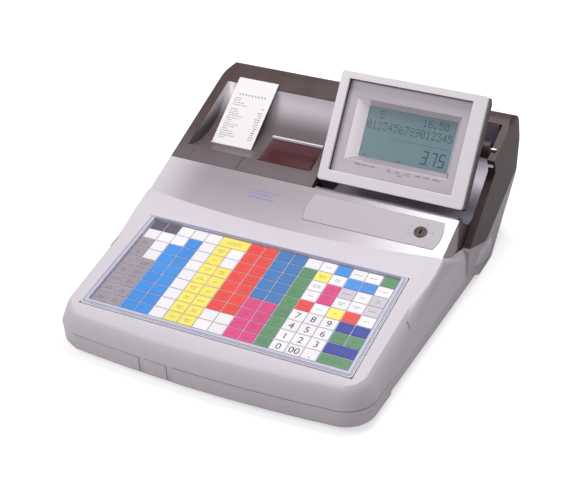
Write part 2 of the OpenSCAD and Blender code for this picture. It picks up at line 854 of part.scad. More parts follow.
// The customer's window lies in the rear slope, behind the operator display
module customer_place() {
    p = on_rear_yz(30, 0);
    translate([40, p[0], p[1]]) rotate([90 - rear_lean, 0, 0]) children();
}

module customer_window() {
    color("black") customer_place() translate([0, -2.4, 0]) cube([120, 2, 30]);
}

module customer_board() {
    color("seagreen") customer_place() translate([-6, -12, -4]) {
        cube([132, 1.6, 38]);
        translate([10, 1.6, 6]) cube([112, 8, 26]);
    }
}

module connector_panel() {
    color("darkgray") on_rear_wall() translate([ports_x, 0, ports_h]) difference() {
        union() {
            translate([0.3, -wall, 0.3]) cube([ports_w - 0.6, wall - 0.6, ports_l - 0.6]);
            for (x = [14, 58]) translate([x, -8, 25]) cube([32, 12, 12]);
            translate([10, -14, 4]) cube([86, 12, 16]);
        }
        for (x = [16, 60]) translate([x, -6, 27]) cube([28, 20, 8]);
        for (i = [0:3]) translate([13 + i * 21, -12, 6]) cube([13, 30, 12]);
    }
}

module cord_gland() {
    color("black") on_rear_wall() translate([gland_x, 0, gland_h]) rotate([-90, 0, 0]) difference() {
        union() {
            translate([0, 0, -12]) cylinder(h = 14, r = gland_r - 0.3);
            translate([0, 0, 0.3]) cylinder(h = 3, r = gland_r + 3);
        }
        translate([0, 0, -20]) cylinder(h = 40, r = 4);
    }
}

// Display cradle: the lip below the display and the hollow that it tilts in
cradle_x0 = cover_x1 + cover_gap + wall + 0.3;
cradle_t = 2.5;
cradle_deep = 74;
cradle_back = [ridge[0] - 8, ridge[1] - 22];
cradle_low = [[pivot[0] - 62, pivot[1] - cradle_deep], [pivot[0] - 20, pivot[1] - cradle_deep]];
cradle_top_s = ridge_s - 9;
module display_cradle() {
    low = [0, cradle_t];
    edge = bay_front;
    nose = [edge + [9, -2], edge + [16, -12]];
    color("lightsteelblue") {
        difference() {
            along_x(cradle_x0, upper_x) polygon(concat([edge - [0, 30], edge], nose, cradle_low,
                [cradle_back, on_slope_yz(cradle_top_s, 0), on_slope_yz(cradle_top_s, -cradle_t),
                 cradle_back + [cradle_t, 0], cradle_low[1] - low, cradle_low[0] - [cradle_t, cradle_t],
                 edge + [12, -14], edge + [cradle_t, -6]]));
            case_form(0);
        }
        // The side cheek at the right-hand side panel
        difference() {
            along_x(upper_x - cradle_t, upper_x) polygon([edge, edge - [0, 40],
                [ear_low_y + 40, wing_z(ear_low_y + 40) + 1], cradle_low[1], cradle_low[0],
                nose[1], nose[0]]);
            case_form(0);
        }
    }
}

// Printer cover

module below_slope(n) {
    on_slope() translate([-far, -far, n - far]) cube([2 * far, 2 * far, far]);
}

module chute(grow) {
    bar_x(chute_x0 - grow, chute_x1 + grow, chute_mid[0], chute_mid[1], chute_r + grow);
}

rim_front = 8;
rim_low = 9;
rim_high = 16;
module printer_cover() {
    front = bay_front;
    color("dimgray") difference() {
        union() {
            intersection() {
                ridge_ends(upper_w, 0);
                union() {
                    // The outer skin: slope, ridge and rear slope down to the hinge
                    along_x(cover_x0, cover_x1) polygon(concat([front + [2.4, -wall - 4], front],
                        arc(ridge, ridge_r, 90 + slope, 90 - rear_lean, 14),
                        [on_rear_yz(hinge_t, 0), on_rear_yz(hinge_t, wall)],
                        arc(ridge, ridge_r - wall, 90 - rear_lean, 90 + slope, 14),
                        [on_slope_yz(cover_s + 2 * wall, -wall), front + [2.4 + wall, -wall - 4]]));
                    // Side rims, and the thicker rounded end of the ridge
                    for (x = [cover_x0, cover_x1 - wall]) along_x(x, x + wall)
                        polygon(concat([front + [4, -wall - rim_front], front],
                            arc(ridge, ridge_r, 90 + slope, 90 - rear_lean, 14),
                            [on_rear_yz(hinge_t + 2, 0), on_rear_yz(hinge_t + 2, 14),
                             on_slope_yz(ridge_s - 20, -rim_high), on_slope_yz(cover_s + 10, -rim_low)]));
                    along_x(cover_x0, cover_x0 + ridge_end_r)
                        polygon(concat(arc(ridge, ridge_r, 90 + slope, 90 - rear_lean, 14),
                            arc(ridge, ridge_r - ridge_end_r, 90 - rear_lean, 90 + slope, 14)));
                }
            }
            intersection() {
                chute(chute_wall);
                below_slope(0);
            }
            // Hinge knuckles of the cover
            for (x = hinge_xs) {
                bar_x(x - knuckle_w / 2, x + knuckle_w / 2, hinge[0], hinge[1], knuckle_r);
                along_x(x - knuckle_w / 2, x + knuckle_w / 2)
                    polygon([hinge + 0.75 * knuckle_r * [cos(30), sin(30)], on_rear_yz(hinge_t + 8, 0.2),
                        on_rear_yz(hinge_t + 8, wall + 2), hinge - [knuckle_r, 0]]);
            }
        }
        chute(0);
        // Slot for the receipt and opening for the journal
        translate([receipt_x - station_w / 2, slot_y - slot_gap / 2, 0]) cube([station_w, slot_gap, far]);
        translate([window_x0, window_front[0], window_lip[1] - 40])
            cube([window_x1 - window_x0, window_lip[0] - window_front[0], far]);
        // Seams of the receipt door
        on_slope() for (seam = [[seam_x[0], 0, chute_low_s - 4], [seam_x[1], seam_lean, chute_low_s + 6]])
            translate([seam[0], cover_s + seam_in, -seam_d]) rotate(seam[1])
                cube([seam_w, seam[2] - cover_s, far]);
        for (x = hinge_xs) {
            bar_x(x - 40, x + 40, hinge[0], hinge[1], pin_r + run_fit);
            // Room for the knuckles of the rear wall
            for (side = [-1, 1]) translate([x + side * knuckle_step, 0, 0])
                bar_x(-knuckle_w / 2 - knuckle_gap, knuckle_w / 2 + knuckle_gap, hinge[0], hinge[1],
                    knuckle_r + knuckle_gap);
        }
    }
}

// A smoked hood over the journal: a pane with a back and two cheeks that reach through the chute's floor
module journal_window() {
    y0 = window_front[0] + window_fit;
    y1 = window_lip[0] - window_fit;
    z0 = window_front[1] - 1.2;
    z1 = window_lip[1];
    skirt = floor_z(y1) - 7;
    x0 = window_x0 + window_fit;
    x1 = window_x1 - window_fit;
    color("black") {
        along_x(x0, x1) polygon([[y0, z0], [y1, z1], [y1, skirt], [y1 - window_t, skirt],
            [y1 - window_t, z1 - window_t], [y0, z0 - window_t]]);
        for (x = [x0, x1 - window_t]) along_x(x, x + window_t)
            polygon([[y0, z0], [y1, z1], [y1, skirt], [y0, z0 - 9]]);
    }
}

module tear_bar() {
    teeth = 24;
    pitch = (station_w - 2) / teeth;
    color("silver") translate([receipt_x - station_w / 2 + 1, slot_y - slot_gap / 2 + 0.8, slot_z - 3])
        rotate([90, 0, 0]) linear_extrude(0.8) {
            square([station_w - 2, 3]);
            for (i = [0:teeth - 1]) translate([i * pitch, 3]) polygon([[0, 0], [pitch, 0], [pitch / 2, 1.4]]);
        }
    // The bright bar on the back edge of the journal window
    color("silver") along_x(window_x0 + window_fit, window_x1 - window_fit)
        translate(window_lip + [-window_fit - lip_len, 0.2]) square([lip_len, lip_t]);
}

// The printed strip leans back out of the slot onto the upper edge of the chute
module receipt_strip() {
    run = strip_rest - strip_foot;
    color("white") translate([receipt_x - paper_w / 2, strip_foot[0], strip_foot[1]])
        rotate([atan2(run[1], run[0]), 0, 0]) cube([paper_w, receipt_len, paper_t]);
}

module cover_hinge_pins() {
    color("silver") for (x = hinge_xs)
        bar_x(x - 1.5 * knuckle_w - 1, x + 1.5 * knuckle_w + 1, hinge[0], hinge[1], pin_r);
}

// Printer mechanism

station_xs = [receipt_x, journal_x];
plate_xs = [for (x = station_xs, side = [-1, 1]) x + side * (station_w / 2 + plate_gap) - plate_w / 2];

module printer_frame() {
    color("silver") difference() {
        union() {
            for (x = plate_xs) along_x(x, x + plate_w) polygon([[frame_y0, frame_floor_z],
                [frame_y0, spool_z + 4], [platen_y - 10, platen_z + plate_top],
                [platen_y + 12, platen_z + plate_top],
                [frame_y1, platen_z], [frame_y1, frame_floor_z]]);
            translate([plate_xs[0], frame_y0, frame_floor_z])
                cube([plate_xs[3] + plate_w - plate_xs[0], frame_y1 - frame_y0, plate_w]);
            for (x = [plate_xs[0] + post_in, plate_xs[3] - post_in - post_w])
                translate([x, platen_y - post_l * 2 / 3, foot_h + wall])
                    cube([post_w, post_l, frame_floor_z - foot_h - wall]);
        }
        bar_x(-far, far, platen_y, platen_z, platen_shaft_r + run_fit);
        bar_x(-far, far, pinion_y, pinion_z, boss_r);
        bar_x(-far, far, spool_y, spool_z, spool_shaft_r + run_fit);
    }
}

// Left face of a station's gears, on its left side or flipped to its right side
function gear_x(x, flip) = flip ? x + station_w / 2 + gear_out : x - station_w / 2 - gear_out - gear_w;

// Rubber roller on its shaft, with its gear outside a plate
module platen(x, flip) {
    end = station_w / 2 + gear_out + gear_w;
    bar_x(x - station_w / 2, x + station_w / 2, platen_y, platen_z, platen_r);
    bar_x(x - end, x + end, platen_y, platen_z, platen_shaft_r);
    translate([gear_x(x, flip), platen_y, platen_z]) rotate([0, 90, 0]) spur(platen_teeth, gear_w, 1);
}

module receipt_platen() { color("black") platen(receipt_x, false); }
module journal_platen() { color("black") platen(journal_x, true); }

module motor(x, flip) {
    side = flip ? 1 : -1;
    x0 = x + side * (station_w / 2 + motor_out);
    x1 = x0 - side * motor_l;
    x2 = x0 + side * (gear_out - motor_out + gear_w);
    bar_x(min(x0, x1), max(x0, x1), pinion_y, pinion_z, motor_r);
    bar_x(min(x0, x2), max(x0, x2), pinion_y, pinion_z, motor_shaft_r);
}

module receipt_motor() { color("silver") motor(receipt_x, false); }
module journal_motor() { color("silver") motor(journal_x, true); }

// A pinion turned by half a tooth, so that it meshes with its gear
module pinion(x, flip) {
    translate([gear_x(x, flip), pinion_y, pinion_z]) rotate([0, 90, 0]) rotate(pinion_turn)
        spur(pinion_teeth, gear_w, motor_shaft_r + run_fit);
}

module receipt_pinion() { color("white") pinion(receipt_x, false); }
module journal_pinion() { color("white") pinion(journal_x, true); }

module thermal_heads() {
    color("darkgray") for (x = station_xs) translate([x, platen_y + platen_r + head_gap, platen_z]) {
        head_w = station_w + head_size[0];
        sink_w = station_w + sink_size[0];
        translate([-head_w / 2, 0, -head_size[2] / 2]) cube([head_w, head_size[1], head_size[2]]);
        translate([-sink_w / 2, head_size[1], 3 - head_size[2] / 2])
            cube([sink_w, sink_size[1], sink_size[2]]);
    }
}

module take_up_spool() {
    color("white") {
        half = paper_w / 2 + 1;
        end = station_w / 2 + gear_out - 1;
        bar_x(journal_x - half, journal_x + half, spool_y, spool_z, spool_r);
        bar_x(journal_x - end, journal_x + end, spool_y, spool_z, spool_shaft_r);
        for (x = [journal_x - half - flange_t + 0.2, journal_x + half - 0.2])
            bar_x(x, x + flange_t, spool_y, spool_z, spool_flange_r);
    }
}

module journal_paper() {
    a = [spool_y, spool_z + spool_r + paper_gap];
    b = [platen_y, platen_z + platen_r + paper_gap];
    color("wheat") along_x(journal_x - paper_w / 2, journal_x + paper_w / 2)
        polygon([a, b, b + [0, paper_t], a + [0, paper_t]]);
}

module receipt_web() {
    color("white") along_x(receipt_x - paper_w / 2, receipt_x + paper_w / 2)
        translate([platen_y + platen_r + web_gap, platen_z - 6]) square([paper_t, plate_top + 6]);
}

module paper_bin() {
    color("gray") difference() {
        union() {
            along_x(bin_x0, bin_x1) union() {
                translate([roll_y, roll_z]) circle(bin_r + bin_t);
                translate([roll_y - bin_r - bin_t, roll_z]) square([2 * (bin_r + bin_t), bin_rim]);
            }
            for (x = [bin_x0 + leg_l, bin_x1 - leg_l - leg_w])
                translate([x, roll_y - bin_r + 4, foot_h + wall])
                    cube([leg_w, leg_l, roll_z - leg_l - foot_h - wall]);
        }
        for (x = station_xs) along_x(x - paper_w / 2 - bin_play, x + paper_w / 2 + bin_play) union() {
            translate([roll_y, roll_z]) circle(bin_r);
            translate([roll_y - bin_r, roll_z]) square([2 * bin_r, far]);
        }
        translate([-far, roll_y - far, roll_z + bin_rim]) cube([2 * far, 2 * far, far]);
        bar_x(-far, far, roll_y, roll_z, spindle_r);
    }
}

module roll_spindle() {
    color("silver") bar_x(bin_x0 - 1, bin_x1 + 1, roll_y, roll_z, spindle_r);
}

module paper_roll(x) {
    translate([x, 0, 0]) difference() {
        bar_x(-paper_w / 2, paper_w / 2, roll_y, roll_z, roll_r);
        bar_x(-paper_w, paper_w, roll_y, roll_z, spindle_r + run_fit);
    }
}

module receipt_roll() { color("white") paper_roll(receipt_x); }
module journal_roll() { color("white") paper_roll(journal_x); }

// Operator display

module display_bezel() {
    color("gainsboro") on_display() difference() {
        translate([0, bezel_d, 0]) rotate([90, 0, 0]) linear_extrude(bezel_d)
            round_rect(display_w, display_h, bezel_r);
        translate([bezel_border, -1, bezel_low]) cube([recess_w, far, recess_h]);
    }
}

module display_mask() {
    color("silver") on_display() difference() {
        translate([bezel_border + mask_fit, bezel_recess, bezel_low + mask_fit])
            cube([recess_w - 2 * mask_fit, screen_depth + 1, recess_h - 2 * mask_fit]);
        translate([screen_u, bezel_recess - 1, screen_v]) cube([screen_w, 40, screen_h]);
        hull() {
            translate([screen_u - bevel_left, bezel_recess - slice_t, screen_v - bevel_low])
                cube([screen_w + bevel_left + bevel_right, slice_t, screen_h + bevel_low + bevel_top]);
            translate([screen_u, bezel_recess + screen_depth, screen_v]) cube([screen_w, slice_t, screen_h]);
        }
    }
}

module lcd_panel() {
    color("cadetblue") on_display()
        translate([screen_u - lcd_edge, bezel_recess + screen_depth + 1, screen_v - lcd_edge])
            cube([screen_w + 2 * lcd_edge, lcd_t, screen_h + 2 * lcd_edge]);
}

module display_back() {
    color("dimgray") on_display() difference() {
        union() {
            hull() {
                translate([0, bezel_d, 0]) cube([display_w, slice_t, display_h]);
                translate([0, display_t - 8, 2]) cube([display_w, slice_t, display_h - 8]);
                translate([6, display_t, 8]) cube([display_w - 12, slice_t, display_h - 22]);
            }
            rotate([90, 0, 90]) translate([0, 0, arm_in]) linear_extrude(display_w - 2 * arm_in)
                polygon([[display_t - 1, pivot_v - arm_h], [display_t - 1, pivot_v + arm_h],
                    [pivot_d + 2, pivot_v + barrel_r], [pivot_d + 2, pivot_v - barrel_r]]);
            translate([1.5, pivot_d, pivot_v]) rotate([0, 90, 0]) cylinder(h = display_w - 2, r = barrel_r);
        }
        translate([shell_t, bezel_d - 1, shell_t])
            cube([display_w - 2 * shell_t, display_t - bezel_d - shell_t - 5, display_h - 2 * shell_t - 6]);
        translate([-1, pivot_d, pivot_v]) rotate([0, 90, 0])
            cylinder(h = display_w + 2, r = shaft_r + run_fit);
    }
}

module display_board() {
    color("seagreen") on_display()
        translate([display_board_in, bezel_recess + screen_depth + 1 + lcd_t, display_board_in])
            cube([display_w - 2 * display_board_in, board_t, display_h - 2 * display_board_in - 4]);
}

module display_shaft() {
    color("silver") bar_x(cover_x1 + cover_gap, side_x - wall, pivot[0], pivot[1], shaft_r);
}

// Inside the lower case

board_y = kb_y - 55;
board_l = 130;
module main_board() {
    color("seagreen") translate([-120, board_y, foot_h + wall + 8]) cube([240, board_l, 1.6]);
    color("black") for (x = [-60, 0, 50]) translate([x, kb_y, foot_h + wall + 9.6]) cube([26, 26, 3]);
}

module power_supply() {
    color("silver") translate([60, board_y + board_l + 10, foot_h + wall]) cube([100, 60, 40]);
}

bottom_case();
top_case();
front_left_door();
front_centre_cover();
front_right_cover();
rubber_feet();
case_screws();
keyboard_frame();
keyboard_sheet();
white_keys();
light_blue_keys();
dark_blue_keys();
yellow_keys();
red_keys();
pink_keys();
green_keys();
grey_keys();
light_grey_keys();
dark_grey_keys();
navy_keys();
keyboard_backplate();
front_fascia();
mode_panel();
lock_barrel();
lock_rotor();
rear_case();
display_cradle();
connector_panel();
cord_gland();
customer_window();
customer_board();
printer_cover();
journal_window();
tear_bar();
receipt_strip();
cover_hinge_pins();
printer_frame();
receipt_platen();
journal_platen();
receipt_motor();
journal_motor();
receipt_pinion();
journal_pinion();
thermal_heads();
take_up_spool();
journal_paper();
receipt_web();
paper_bin();
roll_spindle();
receipt_roll();
journal_roll();
display_bezel();
display_mask();
lcd_panel();
display_back();
display_board();
display_shaft();
main_board();
power_supply();
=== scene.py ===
"""Looks of a counter-top cash register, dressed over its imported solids.

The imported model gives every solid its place. This script gives each solid its finish and adds
the case's rim over the foot of the fascia and what is printed on the machine: key numbers, dial
marks, paper print and screen characters.
Lengths are in metres; a name that ends in _mm is in millimetres.
"""

import logging
import math
import random
from dataclasses import dataclass, field
from enum import Enum
from typing import Callable, Dict, List, Sequence, Tuple

import bmesh
import bpy
from mathutils import Matrix, Vector


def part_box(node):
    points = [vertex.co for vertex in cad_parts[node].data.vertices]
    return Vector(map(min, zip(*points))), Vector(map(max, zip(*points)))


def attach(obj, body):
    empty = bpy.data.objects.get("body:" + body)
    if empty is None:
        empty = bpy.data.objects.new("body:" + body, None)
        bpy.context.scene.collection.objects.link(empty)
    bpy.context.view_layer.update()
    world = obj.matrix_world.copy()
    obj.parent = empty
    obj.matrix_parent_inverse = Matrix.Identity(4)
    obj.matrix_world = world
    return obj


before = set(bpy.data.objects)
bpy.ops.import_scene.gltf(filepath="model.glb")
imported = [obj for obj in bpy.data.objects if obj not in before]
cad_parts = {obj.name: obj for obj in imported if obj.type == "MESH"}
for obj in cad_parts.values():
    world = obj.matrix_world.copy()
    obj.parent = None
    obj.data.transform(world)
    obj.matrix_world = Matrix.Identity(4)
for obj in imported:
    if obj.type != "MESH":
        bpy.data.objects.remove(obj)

LOG = logging.getLogger("register")
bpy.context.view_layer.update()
MM = 0.001
PAINT_BLUR = 0.0002
MARK_LIFT_MM = 0.01

Colour = Tuple[float, float, float]
Grid = List[List[Tuple[float, float, float, float]]]
Span = Tuple[float, float]
Place = Callable[[float, float, float], Vector]
Socket = bpy.types.NodeSocket


def tone(red: int, green: int, blue: int) -> Colour:
    """Turns a screen colour into the linear colour that a shader takes.

    Args:
        red: red level, 0 to 255.
        green: green level, 0 to 255.
        blue: blue level, 0 to 255.

    Returns:
        The linear colour.
    """

    def linear(level: int) -> float:
        """One channel from screen to linear."""
        part = level / 255.0
        return part / 12.92 if part <= 0.04045 else ((part + 0.055) / 1.055) ** 2.4

    return (linear(red), linear(green), linear(blue))


# Faces of the machine


@dataclass(frozen=True)
class Face:
    """A flat face: X to the operator's right, Y up the face and Z out of it.

    Attributes:
        origin_mm: the face's origin in the machine's frame.
        lean_deg: how far the face is turned up about the machine's X axis.
    """

    origin_mm: Tuple[float, float, float]
    lean_deg: float

    def place(self, lift_mm: float = 0.0) -> Place:
        """Gives the function that sets marks on this face.

        Args:
            lift_mm: how far the marks lie out of the face.

        Returns:
            A function from face millimetres to a point in metres.
        """
        origin = Vector(self.origin_mm) * MM
        turn = Matrix.Rotation(math.radians(self.lean_deg), 3, "X")
        return lambda u, v, w: origin + turn @ (Vector((u, v, w + lift_mm)) * MM)


@dataclass(frozen=True)
class Machine:
    """Driving sizes that place the printed marks, in millimetres."""

    depth: float = 520.0
    edge_run: float = 13.0
    front_h: float = 51.0
    deck_tilt: float = 10.0
    pitch_x: float = 19.0
    pitch_y: float = 17.2
    columns: int = 17
    rows: int = 9
    frame_front: float = 9.6
    frame_rear: float = 6.0
    frame_side: float = 9.5
    deck_front: float = 21.0
    deck_rear: float = 18.0
    slope: float = 21.3
    fascia_len: float = 82.0
    display_lean: float = 33.0
    display_left: float = 8.0
    display_step: Tuple[float, float] = (6.0, 11.0)

    def along_deck(self, run: float) -> Tuple[float, float]:
        """Finds a point on the deck.

        Args:
            run: how far it lies up the deck.

        Returns:
            Its Y and Z.
        """
        lean = math.radians(self.deck_tilt)
        front = -self.depth / 2 + self.edge_run
        return front + run * math.cos(lean), self.front_h + run * math.sin(lean)

    def deck(self) -> Face:
        """The keyboard deck, with its origin at the middle of the keys."""
        y, z = self.along_deck(self.deck_front + self.frame_front + self.rows * self.pitch_y / 2)
        return Face((0.0, y, z), self.deck_tilt)

    def upper_slope(self) -> Face:
        """Gives the slope of the fascia and the covers.

        Returns:
            The face, with its origin at the low edge.
        """
        keys = self.rows * self.pitch_y
        y, z = self.along_deck(
            self.deck_front + self.frame_front + keys + self.frame_rear + self.deck_rear
        )
        return Face((0.0, y, z), self.slope)

    def display(self) -> Face:
        """Gives the display's face.

        Returns:
            The face, with its origin at the lower left corner.
        """
        _, y, z = self.upper_slope().origin_mm
        lean = math.radians(self.slope)
        y += self.fascia_len * math.cos(lean) + self.display_step[0]
        z += self.fascia_len * math.sin(lean) + self.display_step[1]
        return Face((self.display_left, y, z), 90.0 - self.display_lean)


MACHINE = Machine()


# Shader effects that several finishes share


class Effect(Enum):
    """Shader node groups, by the name of what they show."""

    MOULDED_GRAIN = "moulded_grain"
    SETTLED_DUST = "settled_dust"
    DRAWN_LINES = "drawn_lines"


@dataclass
class Wiring:
    """A node tree with short calls to add nodes and link them."""

    tree: bpy.types.NodeTree

    def add(self, kind: str, **values: object) -> bpy.types.Node:
        """Adds a node and sets its properties.

        Args:
            kind: the node's type name.
            **values: properties of the node.

        Returns:
            The new node.
        """
        node = self.tree.nodes.new(kind)
        for key, value in values.items():
            setattr(node, key, value)
        return node

    def link(self, source: Socket, target: Socket) -> None:
        """Links one socket to another."""
        self.tree.links.new(source, target)

    def put(self, socket: Socket, value: object) -> None:
        """Sets a socket to a number or a colour, or links another socket to it.

        Args:
            socket: the socket to feed.
            value: number, colour or socket.
        """
        if isinstance(value, tuple):
            socket.default_value = value if socket.type == "VECTOR" else (*value, 1.0)
        elif isinstance(value, (int, float)):
            socket.default_value = value
        else:
            self.link(value, socket)

    def calc(self, operation: str, first: object, second: object = 0.0) -> Socket:
        """Adds a Math node; a number is set and a socket is linked.

        Args:
            operation: the node's operation.
            first: number or socket.
            second: number or socket.

        Returns:
            The result socket.
        """
        node = self.add("ShaderNodeMath", operation=operation)
        for socket, value in zip(node.inputs, (first, second)):
            self.put(socket, value)
        return node.outputs[0]

    def blend(self, mask: object, first: object, second: object) -> Socket:
        """Adds a colour mix; a colour is set and a socket is linked.

        Args:
            mask: number or socket.
            first: colour or socket at mask 0.
            second: colour or socket at mask 1.

        Returns:
            The mixed colour's socket.
        """
        node = self.add("ShaderNodeMix", data_type="RGBA")
        for socket, value in zip((node.inputs[0], node.inputs[6], node.inputs[7]), (mask, first, second)):
            self.put(socket, value)
        return node.outputs[2]

    def ramp(self, value: Socket, low: float, high: float) -> Socket:
        """Maps a value to 0 to 1 between two limits, smoothly.

        Args:
            value: the socket to map.
            low: the value that gives 0.
            high: the value that gives 1.

        Returns:
            The mapped value's socket.
        """
        node = self.add("ShaderNodeMapRange", interpolation_type="SMOOTHSTEP")
        self.link(value, node.inputs["Value"])
        node.inputs["From Min"].default_value = low
        node.inputs["From Max"].default_value = high
        return node.outputs[0]

    def axes(self) -> Tuple[Socket, Socket, Socket]:
        """Splits the object's own coordinates.

        Returns:
            The sockets of X, Y and Z.
        """
        split = self.add("ShaderNodeSeparateXYZ")
        self.link(self.add("ShaderNodeTexCoord").outputs["Object"], split.inputs[0])
        return split.outputs["X"], split.outputs["Y"], split.outputs["Z"]

    def face_axes(self, face: Face) -> Tuple[Socket, Socket, Socket]:
        """Tells where a shaded point lies on a face of the machine.

        Args:
            face: the face.

        Returns:
            The sockets of its place to the right, up the face and behind the face.
        """
        lean = math.radians(face.lean_deg)
        right, back, high = (
            self.calc("SUBTRACT", axis, start * MM) for axis, start in zip(self.axes(), face.origin_mm)
        )
        up = self.calc("ADD", self.scaled(back, math.cos(lean)), self.scaled(high, math.sin(lean)))
        behind = self.calc("SUBTRACT", self.scaled(back, math.sin(lean)), self.scaled(high, math.cos(lean)))
        return right, up, behind

    def scaled(self, value: object, factor: object) -> Socket:
        """Multiplies two numbers or sockets."""
        return self.calc("MULTIPLY", value, factor)

    def tinted(self, colour: object, shade: Socket) -> Socket:
        """Makes a colour lighter or darker.

        Args:
            colour: colour or socket.
            shade: factor.

        Returns:
            The new colour's socket.
        """
        tint = self.add("ShaderNodeVectorMath", operation="SCALE")
        self.put(tint.inputs[0], colour)
        self.put(tint.inputs["Scale"], shade)
        return tint.outputs[0]

    def noise(self, scale: object, detail: float = 3.0, stretch: Sequence[float] = (1, 1, 1)) -> Socket:
        """Adds noise over the object's own coordinates.

        Args:
            scale: number or socket.
            detail: octaves.
            stretch: scale of each axis.

        Returns:
            The noise value's socket.
        """
        coords = self.add("ShaderNodeTexCoord")
        mapping = self.add("ShaderNodeMapping")
        mapping.inputs["Scale"].default_value = stretch
        node = self.add("ShaderNodeTexNoise")
        node.inputs["Detail"].default_value = detail
        self.put(node.inputs["Scale"], scale)
        self.link(coords.outputs["Object"], mapping.inputs["Vector"])
        self.link(mapping.outputs["Vector"], node.inputs["Vector"])
        return node.outputs[0]

    def bump(self, height: Socket, strength: float, distance: float) -> Socket:
        """Turns a height into relief.

        Args:
            height: the height's socket.
            strength: how strongly it shows.
            distance: the height of the relief.

        Returns:
            The normal's socket.
        """
        node = self.add("ShaderNodeBump")
        self.put(node.inputs["Strength"], strength)
        self.put(node.inputs["Distance"], distance)
        self.link(height, node.inputs["Height"])
        return node.outputs["Normal"]

    def group(self, effect: Effect, **values: object) -> bpy.types.Node:
        """Adds a shared effect.

        Args:
            effect: which effect.
            **values: its inputs, as numbers, colours or sockets.

        Returns:
            The new node.
        """
        node = self.add("ShaderNodeGroup", node_tree=EFFECTS.get(effect))
        for name, value in values.items():
            self.put(node.inputs[name], value)
        return node


class EffectShelf:
    """Builds each shared effect once."""

    def __init__(self) -> None:
        """Starts with no effect built."""
        self._built: Dict[Effect, bpy.types.NodeTree] = {}

    def get(self, effect: Effect) -> bpy.types.NodeTree:
        """Gives the node group of an effect.

        Args:
            effect: which effect.

        Returns:
            The group, built on first use.
        """
        if effect not in self._built:
            maker = {
                Effect.MOULDED_GRAIN: self._moulded_grain,
                Effect.SETTLED_DUST: self._settled_dust,
                Effect.DRAWN_LINES: self._drawn_lines,
            }[effect]
            self._built[effect] = maker()
        return self._built[effect]

    @staticmethod
    def _start(
        effect: Effect, inputs: Sequence[Tuple[str, str]], outputs: Sequence[Tuple[str, str]]
    ) -> Tuple[Wiring, bpy.types.Node, bpy.types.Node]:
        """Opens a group with its sockets.

        Args:
            effect: the effect it is for.
            inputs: names and types of the inputs.
            outputs: names and types of the outputs.

        Returns:
            The wiring, the input node and the output node.
        """
        group = bpy.data.node_groups.new(effect.value, "ShaderNodeTree")
        for name, kind in inputs:
            group.interface.new_socket(name, in_out="INPUT", socket_type="NodeSocket" + kind)
        for name, kind in outputs:
            group.interface.new_socket(name, in_out="OUTPUT", socket_type="NodeSocket" + kind)
        wiring = Wiring(group)
        return wiring, wiring.add("NodeGroupInput"), wiring.add("NodeGroupOutput")

    def _moulded_grain(self) -> bpy.types.NodeTree:
        """Builds faint clouding and a fine skin, as on moulded plastic.

        Returns:
            The group.
        """
        cloud_scale, rough_scale, rough_spread = 14.0, 60.0, 0.10
        wiring, given, out = self._start(
            Effect.MOULDED_GRAIN,
            [("Colour", "Color"), ("Mottle", "Float"), ("Grain", "Float"), ("Roughness", "Float")],
            [("Colour", "Color"), ("Roughness", "Float"), ("Height", "Float")],
        )
        cloud = wiring.calc("SUBTRACT", wiring.noise(cloud_scale), 0.5)
        shade = wiring.calc("ADD", wiring.scaled(cloud, given.outputs["Mottle"]), 1.0)
        wiring.link(wiring.tinted(given.outputs["Colour"], shade), out.inputs["Colour"])
        rough = wiring.calc("MULTIPLY_ADD", wiring.noise(rough_scale), rough_spread)
        rough.node.inputs[2].default_value = -rough_spread / 2
        wiring.link(wiring.calc("ADD", rough, given.outputs["Roughness"]), out.inputs["Roughness"])
        wiring.link(wiring.noise(given.outputs["Grain"], 2.0), out.inputs["Height"])
        return wiring.tree

    def _settled_dust(self) -> bpy.types.NodeTree:
        """Builds a trace of dust on faces that look up.

        Returns:
            The group.
        """
        patch_scale, patch_detail = 26.0, 5.0
        wiring, given, out = self._start(
            Effect.SETTLED_DUST,
            [("Colour", "Color"), ("Dust", "Color"), ("Amount", "Float")],
            [("Colour", "Color")],
        )
        split = wiring.add("ShaderNodeSeparateXYZ")
        wiring.link(wiring.add("ShaderNodeNewGeometry").outputs["Normal"], split.inputs[0])
        up = wiring.ramp(split.outputs["Z"], 0.35, 1.0)
        patch = wiring.ramp(wiring.noise(patch_scale, patch_detail), 0.35, 0.75)
        mask = wiring.scaled(wiring.scaled(up, patch), given.outputs["Amount"])
        wiring.link(wiring.blend(mask, given.outputs["Colour"], given.outputs["Dust"]), out.inputs["Colour"])
        return wiring.tree

    def _drawn_lines(self) -> bpy.types.NodeTree:
        """Builds fine lines along X, as on drawn or brushed metal.

        Returns:
            The group.
        """
        line_scale, line_detail, line_stretch = 40.0, 4.0, (0.6, 40.0, 40.0)
        wiring, given, out = self._start(
            Effect.DRAWN_LINES,
            [("Colour", "Color"), ("Depth", "Float")],
            [("Colour", "Color"), ("Height", "Float")],
        )
        lines = wiring.noise(line_scale, line_detail, line_stretch)
        shade = wiring.calc("SUBTRACT", 1.0, wiring.scaled(lines, given.outputs["Depth"]))
        wiring.link(wiring.tinted(given.outputs["Colour"], shade), out.inputs["Colour"])
        wiring.link(lines, out.inputs["Height"])
        return wiring.tree


EFFECTS = EffectShelf()


# Finishes

BUILT: Dict[str, bpy.types.Material] = {}
DUST_COLOUR = (0.52, 0.49, 0.47)
COAT_ROUGHNESS = 0.12
SKIN_RELIEF = 0.0002
LINE_RELIEF = 0.0001


